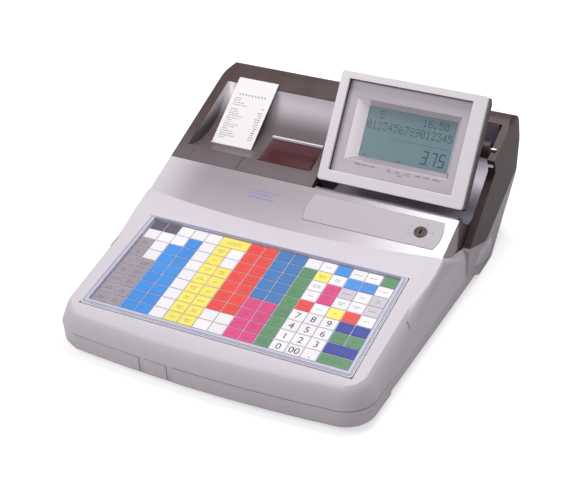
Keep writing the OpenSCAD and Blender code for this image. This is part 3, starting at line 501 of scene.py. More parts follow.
@dataclass(frozen=True)
class Finish:
    """A moulded or painted surface.

    Attributes:
        name: the material's name.
        colour: linear colour.
        roughness: how matt it is.
        metallic: share of metal in the paint.
        mottle: strength of the faint clouding.
        grain: how fine the skin is, in cells a metre.
        skin: depth of the skin's relief.
        dust: trace of dust on faces that look up.
        coat: weight of a clear coat.
        shine: strength of the plain reflection.
    """

    name: str
    colour: Colour
    roughness: float = 0.42
    metallic: float = 0.0
    mottle: float = 0.10
    grain: float = 1800.0
    skin: float = 0.05
    dust: float = 0.05
    coat: float = 0.0
    shine: float = 0.5

    def material(self) -> bpy.types.Material:
        """Builds the material once and gives it back later.

        Returns:
            The material.
        """
        if self.name in BUILT:
            return BUILT[self.name]
        material = bpy.data.materials.new(f"{self.name}_finish")
        BUILT[self.name] = material
        material.use_nodes = True
        wiring = Wiring(material.node_tree)
        shader = material.node_tree.nodes["Principled BSDF"]
        shader.inputs["Metallic"].default_value = self.metallic
        shader.inputs["Specular IOR Level"].default_value = self.shine
        shader.inputs["Coat Weight"].default_value = self.coat
        shader.inputs["Coat Roughness"].default_value = COAT_ROUGHNESS
        self.wire(wiring, shader)
        material.diffuse_color = (*self.colour, 1.0)
        return material

    def under_colour(self, wiring: Wiring) -> object:
        """Gives the colour below the clouding and dust, as a socket or a plain colour."""
        return self.colour

    def wire(self, wiring: Wiring, shader: bpy.types.Node) -> None:
        """Wires the shared effects into the shader.

        Args:
            wiring: the material's tree.
            shader: its Principled node.
        """
        grain = wiring.group(
            Effect.MOULDED_GRAIN, Colour=self.under_colour(wiring), Mottle=self.mottle,
            Grain=self.grain, Roughness=self.roughness,
        )
        dust = wiring.group(
            Effect.SETTLED_DUST, Colour=grain.outputs["Colour"], Dust=DUST_COLOUR, Amount=self.dust,
        )
        relief = wiring.bump(grain.outputs["Height"], self.skin, SKIN_RELIEF)
        wiring.link(dust.outputs["Colour"], shader.inputs["Base Color"])
        wiring.link(grain.outputs["Roughness"], shader.inputs["Roughness"])
        wiring.link(relief, shader.inputs["Normal"])


@dataclass(frozen=True, kw_only=True)
class ScoopedPaint(Finish):
    """Dark paint outside and silver in the scoops below the slope, with painted shade and a painted highlight
    in the scoops.

    Attributes:
        scoop: colour at the top of the scoops.
        floor: colour at the bottom of the scoops: the silver darkened as painted shade.
        side_limits: X limits of the scoops.
        depths: depth below the slope where the silver begins and is full.
        heights: Z of the scoops' bottom and top, where the painted shade is full and where it is gone.
        rear_limit: Y behind which all is dark.
        front: colour at the cover's front edge.
        front_run: Y where the front colour ends and begins.
        wall: painted highlight high on the left-hand side of the scoops.
        wall_run: X where that painted highlight ends and begins.
    """

    scoop: Colour
    floor: Colour
    side_limits: Tuple[float, float] = (-0.1834, -0.0076)
    depths: Tuple[float, float] = (0.0006, 0.0014)
    heights: Tuple[float, float] = (0.128, 0.160)
    rear_limit: float = 0.1745
    front: Colour
    front_run: Tuple[float, float] = (0.092, 0.040)
    wall: Colour
    wall_run: Tuple[float, float] = (-0.169, -0.176)

    def under_colour(self, wiring: Wiring) -> object:
        """Mixes the two paints by how far a point lies below the slope, with painted shade and a painted
        highlight in the scoops.

        Args:
            wiring: the material's tree.

        Returns:
            The colour's socket.
        """
        x, y, z = wiring.axes()
        face = MACHINE.upper_slope()
        run = wiring.calc("SUBTRACT", y, face.origin_mm[1] * MM)
        rise = wiring.scaled(run, math.tan(math.radians(face.lean_deg)))
        depth = wiring.calc("SUBTRACT", wiring.calc("ADD", rise, face.origin_mm[2] * MM), z)
        mask = wiring.ramp(depth, *self.depths)
        left, right = self.side_limits
        limits = (
            (x, left),
            (wiring.scaled(x, -1.0), -right),
            (wiring.scaled(y, -1.0), -self.rear_limit),
        )
        for value, limit in limits:
            mask = wiring.scaled(mask, wiring.ramp(value, limit - PAINT_BLUR, limit))
        # Painted shade: the silver darkens towards the scoops' bottom.
        height = wiring.ramp(z, *self.heights)
        outside = wiring.blend(wiring.ramp(y, *self.front_run), self.colour, self.front)
        # Painted highlight: the silver lightens on the left-hand side of the scoops.
        silver = wiring.blend(wiring.ramp(x, *self.wall_run), self.scoop, self.wall)
        return wiring.blend(mask, outside, wiring.blend(height, self.floor, silver))


@dataclass(frozen=True, kw_only=True)
class SidePaint(Finish):
    """Dark paint above and the lower case's paint below, darkened a little as painted shade, with a dipped
    edge on the outer side.

    Attributes:
        low: colour below the edge.
        side_x: where the outer side begins, as a distance from the middle.
        edge: Y and Z of three points on the edge, from the front to the rear.
        dip_round: how softly the edge turns at its lowest point.
    """

    low: Colour
    side_x: float = 0.1865
    edge: Tuple[Tuple[float, float], ...] = ((0.041, 0.0746), (0.127, 0.0427), (0.230, 0.0877))
    dip_round: float = 0.012

    def under_colour(self, wiring: Wiring) -> object:
        """Mixes the lower paint in below the higher of the edge's two lines.

        Args:
            wiring: the material's tree.

        Returns:
            The colour's socket.
        """
        x, y, z = wiring.axes()
        lines = []
        for (y0, z0), (y1, z1) in zip(self.edge, self.edge[1:]):
            run = wiring.calc("SUBTRACT", y, y0)
            lines.append(wiring.calc("ADD", wiring.scaled(run, (z1 - z0) / (y1 - y0)), z0))
        height = wiring.calc("SMOOTH_MAX", *lines)
        height.node.inputs[2].default_value = self.dip_round
        below = wiring.ramp(wiring.calc("SUBTRACT", height, z), -2 * PAINT_BLUR, 2 * PAINT_BLUR)
        outside = wiring.ramp(wiring.calc("ABSOLUTE", x), self.side_x - 4 * PAINT_BLUR, self.side_x)
        return wiring.blend(wiring.scaled(below, outside), self.colour, self.low)


@dataclass(frozen=True, kw_only=True)
class GradedPaint(Finish):
    """Silver paint that grades along the slope, with a painted reflection that brightens it to its ends.

    Attributes:
        bright: painted reflection at the right-hand end.
        span: X where the painted reflection begins and ends.
        left: painted reflection at the left-hand end.
        left_span: X where that painted reflection begins and ends.
        upper: colour near the upper edge.
        rise: Z where the upper colour begins and ends.
        end: colour of the end faces.
        end_x: where the end faces lie, as a distance from the middle.
    """

    bright: Colour
    span: Tuple[float, float] = (0.05, 0.190)
    left: Colour
    left_span: Tuple[float, float] = (-0.130, -0.200)
    upper: Colour
    rise: Tuple[float, float] = (0.090, 0.114)
    end: Colour
    end_x: float = 0.1957

    def under_colour(self, wiring: Wiring) -> object:
        """Mixes the tones of the paint and the painted reflection at its ends.

        Args:
            wiring: the material's tree.

        Returns:
            The colour's socket.
        """
        x, _, z = wiring.axes()
        tones = wiring.blend(wiring.ramp(z, *self.rise), self.colour, self.upper)
        # Painted reflection: the silver lightens towards both ends.
        tones = wiring.blend(wiring.ramp(x, *self.left_span), tones, self.left)
        tones = wiring.blend(wiring.ramp(x, *self.span), tones, self.bright)
        middle_run = wiring.calc("ABSOLUTE", x)
        beyond = wiring.ramp(middle_run, self.end_x - PAINT_BLUR, self.end_x + PAINT_BLUR / 2)
        return wiring.blend(beyond, tones, self.end)


@dataclass(frozen=True, kw_only=True)
class EndPaint(Finish):
    """Plain paint with another colour at the right-hand end.

    Attributes:
        end: colour of the end.
        end_x: X where it begins.
    """

    end: Colour
    end_x: float = 0.1920

    def under_colour(self, wiring: Wiring) -> object:
        """Mixes the two paints by X.

        Args:
            wiring: the material's tree.

        Returns:
            The colour's socket.
        """
        x, _, _ = wiring.axes()
        beyond = wiring.ramp(x, self.end_x, self.end_x + 3 * PAINT_BLUR)
        return wiring.blend(beyond, self.colour, self.end)


@dataclass(frozen=True, kw_only=True)
class RimPaint(Finish):
    """Silver paint on the display's face, with dark paint on its sides.

    Attributes:
        side: colour of the sides.
        depth_mm: how far behind the face the dark paint begins.
    """

    side: Colour
    depth_mm: float = 3.2

    def under_colour(self, wiring: Wiring) -> object:
        """Mixes the two paints by the depth behind the display's face.

        Args:
            wiring: the material's tree.

        Returns:
            The colour's socket.
        """
        _, _, behind = wiring.face_axes(MACHINE.display())
        mask = wiring.ramp(behind, self.depth_mm * MM - PAINT_BLUR, self.depth_mm * MM + PAINT_BLUR)
        return wiring.blend(mask, self.colour, self.side)


@dataclass(frozen=True, kw_only=True)
class BevelPaint(Finish):
    """Silver paint of the display's panel, with a painted highlight on the left-hand bevel of the screen
    opening and painted shade on the lower bevel.

    Attributes:
        left: painted highlight on the left-hand bevel.
        lower: painted shade on the lower bevel.
        corner_mm: the bevels' outer lower left corner, across and up the display.
        bevel_mm: width of the left-hand bevel and height of the lower one.
        depth_mm: how far behind the face the bevels begin.
        mitre_blur: how softly the tones meet at the corner, as a share of the bevel.
    """

    left: Colour
    lower: Colour
    corner_mm: Tuple[float, float] = (25.5, 32.1)
    bevel_mm: Tuple[float, float] = (15.5, 7.2)
    depth_mm: float = 7.4
    mitre_blur: float = 0.03

    def under_colour(self, wiring: Wiring) -> object:
        """Mixes in the painted highlight and painted shade by the place on the display's face.

        Args:
            wiring: the material's tree.

        Returns:
            The colour's socket.
        """
        right, up, behind = wiring.face_axes(MACHINE.display())
        sunk = wiring.ramp(behind, self.depth_mm * MM, self.depth_mm * MM + 1.5 * PAINT_BLUR)
        across, along = (
            wiring.calc("DIVIDE", wiring.calc("SUBTRACT", value, start * MM), width * MM)
            for value, start, width in zip((right, up), self.corner_mm, self.bevel_mm)
        )
        over_mitre = wiring.calc("SUBTRACT", along, across)
        blur, past = self.mitre_blur, 1.05
        low = wiring.scaled(wiring.ramp(along, past, 1.0), wiring.ramp(over_mitre, blur, -blur))
        side = wiring.scaled(wiring.ramp(across, past, 1.0), wiring.ramp(over_mitre, -blur, blur))
        # Painted shade on the lower bevel and a painted highlight on the left-hand one.
        tones = wiring.blend(wiring.scaled(sunk, low), self.colour, self.lower)
        return wiring.blend(wiring.scaled(sunk, side), tones, self.left)


@dataclass(frozen=True)
class KeyPrint(Finish):
    """Colour printed under a clear film; each key differs a little."""

    def under_colour(self, wiring: Wiring) -> object:
        """Varies the shade a little from key to key.

        Args:
            wiring: the material's tree.

        Returns:
            The colour's socket.
        """
        spread = 0.10
        island = wiring.add("ShaderNodeNewGeometry").outputs["Random Per Island"]
        shade = wiring.calc("ADD", wiring.scaled(island, spread), 1.0 - spread / 2)
        return wiring.tinted(self.colour, shade)


@dataclass(frozen=True)
class Metal(Finish):
    """Drawn or ground metal.

    Attributes:
        line_depth: how dark the fine lines are.
    """

    line_depth: float = 0.35

    def wire(self, wiring: Wiring, shader: bpy.types.Node) -> None:
        """Wires fine lines into the shader instead of the moulded skin.

        Args:
            wiring: the material's tree.
            shader: its Principled node.
        """
        lines = wiring.group(Effect.DRAWN_LINES, Colour=self.colour, Depth=self.line_depth)
        wiring.link(lines.outputs["Colour"], shader.inputs["Base Color"])
        wiring.link(wiring.bump(lines.outputs["Height"], self.skin, LINE_RELIEF), shader.inputs["Normal"])
        shader.inputs["Roughness"].default_value = self.roughness


@dataclass(frozen=True)
class SmokedPane(Finish):
    """Tinted see-through pane.

    Attributes:
        cover: how much of what lies behind it hides.
    """

    cover: float = 0.4

    def wire(self, wiring: Wiring, shader: bpy.types.Node) -> None:
        """Adds see-through to the plain finish."""
        super().wire(wiring, shader)
        shader.inputs["Alpha"].default_value = self.cover


@dataclass(frozen=True)
class Ink(Finish):
    """Thin print."""

    roughness: float = 0.5
    mottle: float = 0.15
    dust: float = 0.0


BROWN = tone(80, 62, 62)
PALE = Finish("pale_case", tone(212, 204, 212), roughness=0.46, mottle=0.05, dust=0.04, shine=0.35)
PANEL = Finish("front_panel", tone(209, 201, 209), roughness=0.46, mottle=0.05, dust=0.02)
DARK = Finish("dark_display", BROWN, roughness=0.44, metallic=0.15, mottle=0.10, shine=0.25)
# The lower case's tone on the housing's side is darkened a little as painted shade.
HOUSING = SidePaint(
    "dark_housing", BROWN, roughness=0.44, metallic=0.15, mottle=0.10, shine=0.25, low=tone(190, 181, 188),
)
# The dark cover; its floor tone is painted shade, and its lightest silver on the left is a painted highlight.
SCOOPED = ScoopedPaint(
    "dark_cover", BROWN, roughness=0.44, metallic=0.15, mottle=0.10, shine=0.3,
    scoop=tone(200, 191, 200), floor=tone(104, 92, 95), front=tone(108, 96, 100), wall=tone(250, 244, 250),
)
# The fascia's silver; its lighter tones at both ends are a painted reflection.
SILVER = GradedPaint(
    "silver_trim", tone(182, 173, 181), roughness=0.36, metallic=0.25, mottle=0.06,
    bright=tone(206, 200, 206), upper=tone(164, 154, 162), left=tone(222, 214, 222), end=tone(168, 157, 164),
)
MODE_PANEL = Finish("mode_panel", tone(182, 173, 182), roughness=0.48, mottle=0.06)
DISPLAY_SILVER = RimPaint("display_silver", tone(234, 228, 234), roughness=0.36, mottle=0.05, side=BROWN)
# The display's panel, with a painted highlight and painted shade on the screen opening's bevels.
DISPLAY_PANEL = BevelPaint(
    "display_panel", tone(200, 191, 200), roughness=0.40, metallic=0.15, mottle=0.05,
    left=tone(246, 238, 246), lower=tone(150, 142, 151),
)
CRADLE = EndPaint("inner_grey", tone(178, 172, 188), roughness=0.40, metallic=0.15, mottle=0.08, end=BROWN)
# The tear bar's pale trim, its lightness partly a painted highlight along the journal window's lip.
BRIGHT_TRIM = Finish("bright_trim", tone(232, 227, 233), roughness=0.30, metallic=0.1, mottle=0.05)
BLACK = Finish("dark_plastic", tone(44, 38, 38), roughness=0.42, mottle=0.15)
MILKY = Finish("white_plastic", tone(226, 224, 218), roughness=0.40)
RUBBER = Finish("rubber", tone(34, 32, 32), roughness=0.75, mottle=0.20, skin=0.15)
BOARD = Finish("board", tone(46, 98, 62), roughness=0.40, mottle=0.25)
CLEAR_FRAME = Finish("clear_frame", tone(202, 199, 212), roughness=0.26, mottle=0.08, coat=0.3)
SHEET = Finish("key_sheet", tone(186, 184, 196), roughness=0.35)
STEEL = Metal("steel", tone(190, 190, 192), roughness=0.32, metallic=1.0)
LOCK_METAL = Metal("lock_metal", tone(58, 46, 44), roughness=0.38, metallic=0.6)
ALUMINIUM = Metal("aluminium", tone(200, 200, 204), roughness=0.36, metallic=1.0)
PANE = SmokedPane("smoked_window", tone(100, 52, 58), roughness=0.10, mottle=0.04, skin=0.0, coat=0.2)
PAPER = Finish("paper", tone(240, 236, 238), roughness=0.75, mottle=0.05, grain=2600.0, skin=0.12, dust=0.0)
SCREEN = Finish(
    "lcd", tone(122, 147, 156), roughness=0.24, mottle=0.06, grain=1500.0, skin=0.01, dust=0.0, coat=0.2,
)
INK = Ink("dark_print", tone(52, 50, 58))
SOFT_INK = Ink("grey_print", tone(98, 94, 104))
BLUE_INK = Ink("blue_print", tone(118, 130, 196))
BORDER_INK = Ink("border_print", tone(104, 120, 168), roughness=0.3)
SCREEN_INK = Ink("screen_segments", tone(70, 86, 100), roughness=0.3, mottle=0.10)

KEY_COLOURS: Dict[str, Colour] = {
    "white": tone(240, 236, 240),
    "light_blue": tone(64, 142, 224),
    "dark_blue": tone(60, 120, 185),
    "yellow": tone(248, 230, 104),
    "red": tone(236, 70, 62),
    "pink": tone(220, 64, 130),
    "green": tone(88, 142, 98),
    "grey": tone(160, 150, 160),
    "light_grey": tone(205, 198, 208),
    "dark_grey": tone(98, 92, 105),
    "navy": tone(44, 62, 160),
}


# Solids and marks


class Softener:
    """Rounds and smooths the shown surface of a piece.

    Attributes:
        weld_m: corners closer than this are joined.
        flat_deg: faces that differ by less than this count as one.
        edge_deg: edges sharper than this are rounded.
        edge_steps: steps of the rounding.
    """

    weld_m: float = 1e-6
    flat_deg: float = 0.3
    edge_deg: float = 38.0
    edge_steps: int = 3

    def __init__(self, smooth_deg: float = 34.0) -> None:
        """Makes the smoothing tree.

        Args:
            smooth_deg: edges sharper than this stay sharp.
        """
        self.smooth_deg = smooth_deg
        self.tree = self._tree()

    def _tree(self) -> bpy.types.NodeTree:
        """Builds the tree that shades by the angle of each edge.

        Returns:
            The tree.
        """
        tree = bpy.data.node_groups.new("shade_by_angle", "GeometryNodeTree")
        tree.interface.new_socket("Geometry", in_out="INPUT", socket_type="NodeSocketGeometry")
        tree.interface.new_socket("Geometry", in_out="OUTPUT", socket_type="NodeSocketGeometry")
        wiring = Wiring(tree)
        given, out = wiring.add("NodeGroupInput"), wiring.add("NodeGroupOutput")
        angle = wiring.add("GeometryNodeInputMeshEdgeAngle")
        gentle = wiring.add("FunctionNodeCompare", data_type="FLOAT", operation="LESS_THAN")
        gentle.inputs[1].default_value = math.radians(self.smooth_deg)
        faces = wiring.add("GeometryNodeSetShadeSmooth", domain="FACE")
        edges = wiring.add("GeometryNodeSetShadeSmooth", domain="EDGE")
        wiring.link(angle.outputs["Unsigned Angle"], gentle.inputs[0])
        wiring.link(given.outputs[0], faces.inputs["Geometry"])
        wiring.link(faces.outputs[0], edges.inputs["Geometry"])
        wiring.link(gentle.outputs[0], edges.inputs["Shade Smooth"])
        wiring.link(edges.outputs[0], out.inputs[0])
        return tree

    def soften(self, piece: bpy.types.Object, edge_mm: float) -> None:
        """Adds the modifiers to a piece.

        Args:
            piece: the mesh object.
            edge_mm: width of the rounded edges; none at 0.
        """
        weld = piece.modifiers.new("weld", "WELD")
        weld.merge_threshold = self.weld_m
        if edge_mm:
            flat = piece.modifiers.new("flat_faces", "DECIMATE")
            flat.decimate_type = "DISSOLVE"
            flat.angle_limit = math.radians(self.flat_deg)
            bevel = piece.modifiers.new("soft_edges", "BEVEL")
            bevel.width = edge_mm * MM
            bevel.segments = self.edge_steps
            bevel.limit_method = "ANGLE"
            bevel.angle_limit = math.radians(self.edge_deg)
        shade = piece.modifiers.new("shade", "NODES")
        shade.node_group = self.tree
        if edge_mm:
            level = piece.modifiers.new("level_faces", "WEIGHTED_NORMAL")
            level.keep_sharp = True


SOFTENER = Softener()


def dress(node: str, finish: Finish, edge_mm: float = 0.0) -> None:
    """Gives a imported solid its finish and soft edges.

    Args:
        node: the solid's name.
        finish: its finish.
        edge_mm: width of the rounded edges.
    """
    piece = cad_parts[node]
    piece.data.materials.clear()
    piece.data.materials.append(finish.material())
    SOFTENER.soften(piece, edge_mm)
    LOG.info("dressed %s in %s", node, finish.name)


def make_piece(
    name: str, work: bmesh.types.BMesh, finish: Finish, body: str
) -> bpy.types.Object:
    """Makes a new piece of a worked mesh and lets it ride on a body.

    Args:
        name: the piece's name.
        work: the mesh, which is freed.
        finish: its finish.
        body: the body that carries it.

    Returns:
        The new piece.
    """
    bmesh.ops.recalc_face_normals(work, faces=work.faces)
    mesh = bpy.data.meshes.new(name)
    work.to_mesh(mesh)
    work.free()
    piece = bpy.data.objects.new(name, mesh)
    bpy.context.scene.collection.objects.link(piece)
    mesh.materials.append(finish.material())
    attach(piece, body)
    LOG.info("built %s", name)
    return piece


def shell(name: str, grid: Grid, finish: Finish, body: str) -> None:
    """Makes a closed piece between two surfaces.

    Args:
        name: the piece's name.
        grid: rows of places, each with its X, its Y and the heights of both surfaces, in millimetres.
        finish: its finish.
        body: the body that carries it.
    """
    rows, columns = len(grid), len(grid[0])
    work = bmesh.new()
    over = [[work.verts.new(Vector((x, y, top)) * MM) for x, y, top, _ in row] for row in grid]
    under = [[work.verts.new(Vector((x, y, low)) * MM) for x, y, _, low in row] for row in grid]
    for i in range(rows - 1):
        for j in range(columns - 1):
            work.faces.new((over[i][j], over[i + 1][j], over[i + 1][j + 1], over[i][j + 1]))
            work.faces.new((under[i][j], under[i][j + 1], under[i + 1][j + 1], under[i + 1][j]))
    ring = [(i, 0) for i in range(rows)] + [(rows - 1, j) for j in range(1, columns)]
    ring += [(i, columns - 1) for i in range(rows - 2, -1, -1)] + [(0, j) for j in range(columns - 2, 0, -1)]
    for (i, j), (k, m) in zip(ring, ring[1:] + ring[:1]):
        work.faces.new((over[i][j], under[i][j], under[k][m], over[k][m]))
    piece = make_piece(name, work, finish, body)
    SOFTENER.soften(piece, edge_mm=0.0)


class MarkSheet:
    """Thin closed marks laid on one face of the machine."""

    def __init__(self, place: Place, thick_mm: float = 0.05) -> None:
        """Starts an empty sheet.

        Args:
            place: function that sets marks on the face.
            thick_mm: thickness of the print.
        """
        self.place = place
        self.thick = thick_mm
        self.mesh = bmesh.new()

    def patch(self, outline: Sequence[Tuple[float, float]]) -> None:
        """Adds a flat mark.

        Args:
            outline: its corners, anticlockwise, in face millimetres.
        """
        low = [self.mesh.verts.new(self.place(u, v, 0.0)) for u, v in outline]
        high = [self.mesh.verts.new(self.place(u, v, self.thick)) for u, v in outline]
        self.mesh.faces.new(list(reversed(low)))
        self.mesh.faces.new(high)
        for i in range(len(outline)):
            j = (i + 1) % len(outline)
            self.mesh.faces.new((low[i], low[j], high[j], high[i]))

    def bar(self, u: float, v: float, width: float, height: float, lean: float = 0.0) -> None:
        """Adds a bar with its low corner at u and v.

        Args:
            u: left side.
            v: bottom.
            width: width.
            height: height.
            lean: how far the top leans to the right.
        """
        self.patch([(u, v), (u + width, v), (u + width + lean, v + height), (u + lean, v + height)])

    def word(
        self, draw: random.Random, u: float, v: float, letters: int, step: float, widths: Span, heights: Span
    ) -> None:
        """Adds a row of bars that stand for unreadable letters.

        Args:
            draw: source of chance.
            u: left side of the first letter.
            v: bottom.
            letters: how many there are.
            step: from one to the next.
            widths: least and greatest width.
            heights: least and greatest height.
        """
        for k in range(letters):
            self.bar(u + k * step, v, draw.uniform(*widths), draw.uniform(*heights))

    def disc(self, u: float, v: float, radius: float, sides: int = 16) -> None:
        """Adds a round dot."""
        turn = 2 * math.pi / sides
        self.patch([(u + radius * math.cos(i * turn), v + radius * math.sin(i * turn)) for i in range(sides)])

    def stroke(self, points: Sequence[Tuple[float, float]], width: float) -> None:
        """Adds a line of even width through points, as bars end to end.

        Args:
            points: the line's points in face millimetres.
            width: the line's width.
        """
        for (u0, v0), (u1, v1) in zip(points, points[1:]):
            length = math.hypot(u1 - u0, v1 - v0)
            du, dv = (u1 - u0) / length, (v1 - v0) / length
            side = (-dv * width / 2, du * width / 2)
            self.patch(
                [(u0 - side[0], v0 - side[1]), (u1 - side[0], v1 - side[1]),
                 (u1 + side[0], v1 + side[1]), (u0 + side[0], v0 + side[1])]
            )

    def number(self, text: str, u: float, v: float, height: float) -> None:
        """Adds a number, centred at u and v.

        Args:
            text: digits to draw.
            u: middle, left to right.
            v: middle, up the face.
            height: height of the figures.
        """
        cap_share = 0.70
        curve = bpy.data.curves.new("figure", "FONT")
        curve.body = text
        curve.size = height / cap_share
        curve.align_x = "CENTER"
        curve.extrude = self.thick / 2
        curve.resolution_u = 4
        holder = bpy.data.objects.new("figure", curve)
        bpy.context.scene.collection.objects.link(holder)
        shape = bpy.data.meshes.new_from_object(holder.evaluated_get(bpy.context.evaluated_depsgraph_get()))
        for corner in shape.vertices:
            x, y, z = corner.co
            corner.co = self.place(u + x, v + y - height / 2, z + self.thick / 2)
        self.mesh.from_mesh(shape)
        bpy.data.objects.remove(holder)
        bpy.data.curves.remove(curve)
        bpy.data.meshes.remove(shape)

    def build(self, name: str, finish: Finish, body: str, slot: str) -> None:
        """Makes the piece and lets it ride on a body.

        Args:
            name: the piece's name.
            finish: its finish.
            body: the body that carries it.
            slot: the record's material slot; not used.
        """
        join_m = 1e-8
        bmesh.ops.remove_doubles(self.mesh, verts=self.mesh.verts, dist=join_m)
        make_piece(name, self.mesh, finish, body)


# Sub-assemblies


class SubAssembly:
    """One sub-assembly of the machine."""

    def dress(self) -> None:
        """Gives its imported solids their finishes."""

    def build(self) -> None:
        """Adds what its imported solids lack."""


@dataclass
class LowerCase(SubAssembly):
    """The pale lower case, its front panels and feet."""

    panel_edge_mm: float = 0.5

    def dress(self) -> None:
        """Gives the case its finishes."""
        for node in ("bottom_case", "top_case"):
            dress(node, PALE)
        for node in ("front_left_door", "front_centre_cover", "front_right_cover"):
            dress(node, PANEL, self.panel_edge_mm)
        dress("rubber_feet", RUBBER, edge_mm=0.6)
        dress("case_screws", STEEL, edge_mm=0.3)
        dress("main_board", BOARD)
        dress("power_supply", STEEL, edge_mm=0.5)

    def build(self) -> None:
        """Adds the rim that rises over the fascia's foot."""
        DeckApron().build()


@dataclass
class DeckApron:
    """The rim of the lower case that rises over the fascia's foot, with an ear at each end.

    Attributes:
        cover: how far it covers the fascia in the middle, in millimetres as all lengths here.
        bow: further cover for each square millimetre from the middle.
        lip: height of its edge over the fascia.
        sunk: how far its underside lies in what carries it.
        reach: how far in front of the fascia it leaves the deck, in the middle and at the ends.
        widen: where the longer reach of the ends begins, from the middle, and over what width.
        fascia_end: where the fascia ends, from the middle.
        side: where the case's side is at the fascia's foot, from the middle.
        flare: how much further out the side is for each millimetre to the rear.
        round_from: where the rounded end begins, at the deck and at the lip.
        round_drop: height of that rounding, at the deck and at the lip.
        foot_share: how far along the section it has changed from the one to the other.
        fall: slope and curve of the ear's edge behind the lip.
        ear_run: length of the ear.
        rim: height, slope to the rear and slope outwards of the case's rim below the ear.
        rim_from: where that height is, from the middle, and how far the rim rises over it.
        bend_share: how far in front of the fascia the section bends, as a share of the reach.
        side_gap: how far the rim stays inside the case's side.
        end_gap: gap between an ear and the fascia's end.
        end_rest: width at the fascia's end that doesn't lie on the fascia.
    """

    cover: float = 9.8
    bow: float = 0.000335
    lip: float = 0.7
    sunk: float = 0.3
    reach: Tuple[float, float] = (13.0, 80.0)
    widen: Tuple[float, float] = (176.0, 14.0)
    fascia_end: float = 196.0
    side: float = 199.55
    flare: float = 0.03
    round_from: Tuple[float, float] = (186.5, 195.9)
    round_drop: Tuple[float, float] = (23.0, 9.0)
    foot_share: float = 0.66
    fall: Tuple[float, float] = (0.56, 0.0012)
    ear_run: float = 46.0
    rim: Tuple[float, float, float] = (79.5, 0.155, 4.3)
    rim_from: Tuple[float, float] = (198.0, 0.7)
    bend_share: float = 0.27
    side_gap: float = 0.1
    end_gap: float = 0.15
    end_rest: float = 0.4

    def slope_point(self, run: float, lift: float) -> Tuple[float, float]:
        """Finds a point over the fascia.

        Args:
            run: how far it lies up the fascia.
            lift: how far it lies out of the fascia.

        Returns:
            Its Y and Z.
        """
        _, y, z = MACHINE.upper_slope().origin_mm
        lean = math.radians(MACHINE.slope)
        return (
            y + run * math.cos(lean) - lift * math.sin(lean),
            z + run * math.sin(lean) + lift * math.cos(lean),
        )

    def deck_height(self, y: float) -> float:
        """Gives the height of the deck's plane at this Y."""
        return self.plane_height(y, MACHINE.deck_tilt)

    def fascia_height(self, y: float) -> float:
        """Gives the height of the fascia's face at this Y."""
        return self.plane_height(y, MACHINE.slope)

    @staticmethod
    def plane_height(y: float, lean_deg: float) -> float:
        """Gives the height of a plane through the fascia's foot.

        Args:
            y: where along the machine.
            lean_deg: the plane's lean.

        Returns:
            Its height there.
        """
        _, foot_y, foot_z = MACHINE.upper_slope().origin_mm
        return foot_z + (y - foot_y) * math.tan(math.radians(lean_deg))

    def rounding(self, x: float, y: float, share: float) -> float:
        """Tells how far the rounded end falls below the middle.

        Args:
            x: distance from the middle.
            y: distance along the machine.
            share: 0 at the deck, 1 at the lip.

        Returns:
            The fall.
        """
        risen = min(share / self.foot_share, 1.0)
        risen = risen * risen * (3.0 - 2.0 * risen)
        begin = self.round_from[0] + risen * (self.round_from[1] - self.round_from[0])
        drop = self.round_drop[0] + risen * (self.round_drop[1] - self.round_drop[0])
        part = min(max(abs(x) - begin, 0.0) / (self.outer(y) - begin), 1.0)
        return drop * (1.0 - math.sqrt(1.0 - part * part))

    def outer(self, y: float) -> float:
        """Gives the distance of the case's side from the middle at this Y."""
        return self.side + self.flare * (y - MACHINE.upper_slope().origin_mm[1])

    def section(self, x: float, share: float) -> Tuple[float, float]:
        """Gives a point of the rising surface before its end is rounded.

        Args:
            x: distance from the middle.
            share: 0 at the deck, 1 at the lip.

        Returns:
            Its Y and Z.
        """
        wide = min(max(abs(x) - self.widen[0], 0.0) / self.widen[1], 1.0)
        foot_y = MACHINE.upper_slope().origin_mm[1]
        front = foot_y - self.reach[0] - wide * (self.reach[1] - self.reach[0])
        bend = foot_y - self.bend_share * self.reach[0]
        run = self.cover + self.bow * min(abs(x), self.fascia_end) ** 2
        points = [(y, self.deck_height(y)) for y in (front, bend)]
        points.append(self.slope_point(run, self.lip))
        weights = ((1 - share) ** 2, 2 * share * (1 - share), share ** 2)
        return (
            sum(weight * point[0] for weight, point in zip(weights, points)),
            sum(weight * point[1] for weight, point in zip(weights, points)),
        )

    def sheet(self, columns: int = 120, steps: int = 16) -> None:
        """Builds the rim between the deck and the fascia.

        Args:
            columns: sections from one side to the other.
            steps: points along each section.
        """
        grid: Grid = []
        for i in range(columns + 1):
            across = math.sin(math.pi / 2 * (2.0 * i / columns - 1.0))
            grid.append([])
            for j in range(steps + 1):
                share = j / steps
                y, z = self.section(across * self.fascia_end, share)
                x = across * (self.outer(y) - self.side_gap)
                height = z - self.rounding(x, y, share)
                base = self.deck_height(y) - self.rounding(x, y, 0.0)
                if abs(x) < self.fascia_end - self.end_rest and y > MACHINE.upper_slope().origin_mm[1]:
                    base = self.fascia_height(y)
                grid[-1].append((x, y, height, min(base, height) - self.sunk))
        shell("deck_apron", grid, PALE, "chassis")

